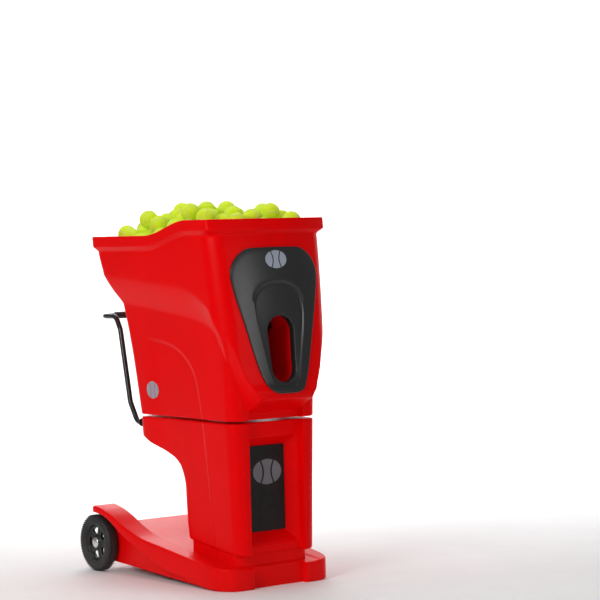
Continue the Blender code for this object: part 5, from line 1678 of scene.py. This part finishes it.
finishes.update({
    "panelSilver": metalMaterial("panelSilver", (0.50, 0.51, 0.53), (0.56, 0.57, 0.59), (0.34, 0.46),
                                 (260, 0.05), (1, 1, 1), 0.15, 0.55),
    "panelDark": plasticMaterial("panelDark", (0.035, 0.036, 0.04), None, (0.35, 0.45)),
    "panelBlack": plasticMaterial("panelBlack", (0.010, 0.010, 0.011), None, (0.28, 0.38)),
    "panelGrey": plasticMaterial("panelGrey", (0.22, 0.22, 0.23), None, (0.4, 0.5)),
    "display": plasticMaterial("displayGlass", (0.50, 0.55, 0.50), (0.48, 0.53, 0.48), (0.10, 0.16),
                               (300, 0.0), Coat_Weight=0.6),
    "displayCell": plasticMaterial("displayCell", (0.40, 0.45, 0.40), None, (0.10, 0.16), (300, 0.0)),
    "keyWhite": plasticMaterial("keyWhite", (0.80, 0.80, 0.79), (0.76, 0.76, 0.75), (0.32, 0.44)),
    "keyBlack": plasticMaterial("keyBlack", (0.012, 0.012, 0.013), None, (0.34, 0.46)),
    "keyGrey": plasticMaterial("keyGrey", (0.36, 0.37, 0.38), None, (0.36, 0.48)),
    "keyGreen": plasticMaterial("keyGreen", (0.02, 0.36, 0.09), None, (0.34, 0.46)),
    "keyRed": plasticMaterial("keyRed", (0.62, 0.008, 0.012), None, (0.36, 0.48)),
})
buildPanel()
buildKeys()
print("control panel done")


# Throwing wheels and carousel, finer than the frame's.

throwFacts = {"y": -0.190, "z": 0.800, "radius": 0.075, "nip": 0.052, "width": 0.050, "ribs": 8,
              "ribAt": 0.0390}


def buildThrowWheels():
    t = throwFacts
    half, outer = t["width"] / 2, t["radius"]
    for name, side in (("upper", 1), ("lower", -1)):
        place = (0, t["y"], t["z"] + side * (outer + t["nip"] / 2))
        profile = [(0.00002, -0.052, 0), (0.006, -0.052, 0.0006), (0.006, -half - 0.004, 0.0003),
                   (0.018, -half - 0.004, 0.001), (0.022, -0.010, 0.004),
                   (outer - 0.018, -0.010, 0.004), (outer - 0.014, -half, 0.002),
                   (outer - 0.0002, -half, 0.003), (outer - 0.004, 0, 0)]
        profile += [(r, -h, k) for r, h, k in profile[-2::-1]]
        wheel = turnedShape("throwWheel" + name.capitalize(), roundProfile(profile, 0.001, 4), "X", place,
                            finishes["urethane"], 96, 36)
        hub = turnedShape("hub",
                          roundProfile([(0.0062, -half - 0.0035), (0.0178, -half - 0.0035),
                                        (0.0178, -half - 0.0046), (0.0062, -half - 0.0046)], 0.0004, 2),
                          "X", place, finishes["steel"], 48, 36)
        ribs = roundBar("rib", (-0.0112, -0.0014, -0.0155), (0.0112, 0.0014, 0.0155), 0.001,
                        finishes["urethane"])
        angles = np.linspace(0, 2 * math.pi, t["ribs"] + 1)[:-1]
        spots = [(0, place[1] + t["ribAt"] * math.cos(a),
                  place[2] + t["ribAt"] * math.sin(a)) for a in angles]
        turns = [(a - math.pi / 2, 0, 0) for a in angles]
        webbing = copiesOf("webbing", ribs, spots, turns, finishes["urethane"])
        wheel = joined("throwWheel" + name.capitalize(), [wheel, hub, webbing])
        sharpen(wheel, 36)
        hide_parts("throw_wheel_" + name)
        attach(wheel, "throw_wheel_" + name)


carouselFacts = {"radius": 0.152, "pocket": 0.0375, "circle": 0.112, "count": 6, "y": 0.080, "low": 1.0132,
                 "high": 1.0472}


def buildCarousel():
    radius, pocket, circle, count, y, low, high = carouselFacts.values()
    points = []
    mouth = math.degrees(math.asin(pocket / radius))
    edge = radius * math.cos(math.radians(mouth))
    for k in range(count):
        middle = k * 60 - 90
        turn = Matrix.Rotation(math.radians(middle), 2)
        points += arcPoints(0, 0, radius, middle - 30, middle - mouth - 1.5, 8)
        local = [(edge, -pocket)] + arcPoints(circle, 0, pocket, 270, 90, 28) + [(edge, pocket)]
        points += [tuple(turn @ Vector(p)) for p in local]
        points += arcPoints(0, 0, radius, middle + mouth + 1.5, middle + 30, 8)[:-1]
    rings = []
    for z, into in [(low, 0.0012), (low + 0.0012, 0.0)] + [(high - down, into) for down,
                                                           into in rolledEdge(0.003, 4)]:
        rings.append([(p[0] * (1 - into / radius), y + p[1] * (1 - into / radius), z) for p in points])
    rotor = ringSkin("carouselRotor", rings, finishes["blackCase"], sharp=40)
    hub = [(0.00002, low - 0.030, 0), (0.008, low - 0.030, 0.0006), (0.008, high - 0.012, 0),
           (0.062, high - 0.012, 0), (0.062, high + 0.002, 0.003),
           (0.045, high + 0.020, 0.012), (0.018, high + 0.050, 0.012), (0.00002, high + 0.054, 0)]
    cone = turnedShape("cutCone", roundProfile(hub, 0.001, 6), "Z", (0, y, 0), finishes["blackCase"], 72,
                       36)
    sharpen(cutAway(rotor, cone, operation="UNION"), 36)
    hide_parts("carousel")
    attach(rotor, "carousel")


# Pan-head screws round a circle, facing along an axis.
def ringOfScrews(name, centre, circle, count, facing, body, size):
    profile = [(0.00002, 0), (size, 0), (size, size * 0.25), (size * 0.8, size * 0.55),
               (0.00002, size * 0.66)]
    head = turnedShape("screwHead", roundProfile(profile, size * 0.1, 3), "Z", (0, 0, 0), finishes["zinc"],
                       28, 36)
    cutAway(head, *crossCutters(0, 0, size * 0.7, size * 0.11, size * 0.3, size))
    places, turns = [], []
    for k in range(count):
        a = 2 * math.pi * k / count
        u, v = circle * math.cos(a), circle * math.sin(a)
        offset = {"Z": (u, v, 0), "X": (0, u, v), "Y": (u, 0, v)}[facing[1]]
        places.append(Vector(centre) + Vector(offset))
        sign = 1 if facing[0] == "+" else -1
        turns.append({"Z": (0 if sign > 0 else math.pi, 0, a), "X": (0, sign * math.pi / 2, 0),
                      "Y": (-sign * math.pi / 2, 0, 0)}[facing[1]])
    made = copiesOf(name, head, places, turns, finishes["zinc"])
    made.data.shade_smooth()
    sharpen(made, 36)
    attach(made, body)


# Small hardware where the frame's parts meet.
def buildFittings():
    rearWall = -0.0419
    c = carouselFacts
    ringOfScrews("carouselScrews", (0, c["y"], c["high"]), 0.140, c["count"], "+Z", "carousel", 0.0040)
    ringOfScrews("inletScrews", (-0.040, rearWall, 0.280), 0.0255, 2, "+Y", "base", 0.0024)


buildThrowWheels()
buildCarousel()
buildFittings()
print("inner parts done")


# Finishes of the parts kept from the frame.

finishes["board"] = plasticMaterial("circuitBoard", (0.012, 0.10, 0.035), (0.010, 0.08, 0.03), (0.35, 0.5),
                                    (260, 0.3))
finishes["rocker"] = plasticMaterial("rockerRed", (0.50, 0.012, 0.012), None, (0.3, 0.4))
keptFinishes = {
    "steel": ("axle", "pan_spindle", "throw_carriage", "tilt_bracket_left", "tilt_bracket_right",
              "turntable_lower", "turntable_upper"),
    "motor": ("carousel_motor", "pan_motor", "throw_motor_lower", "throw_motor_upper", "tilt_motor"),
    "blackCase": ("power_inlet", "switch_frame"), "board": ("control_board",), "pipe": ("feed_tube",),
    # the hopper floor takes the brighter inside red, painted light where it lies in shade under the balls
    "redInnerPaintedLight": ("hopper_floor",), "grey": ("power_supply",), "rocker": ("power_switch",),
}
for finish, nodes in keptFinishes.items():
    for node in nodes:
        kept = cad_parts[node]
        kept.data.materials.clear()
        kept.data.materials.append(finishes[finish])
print("frame parts finished")
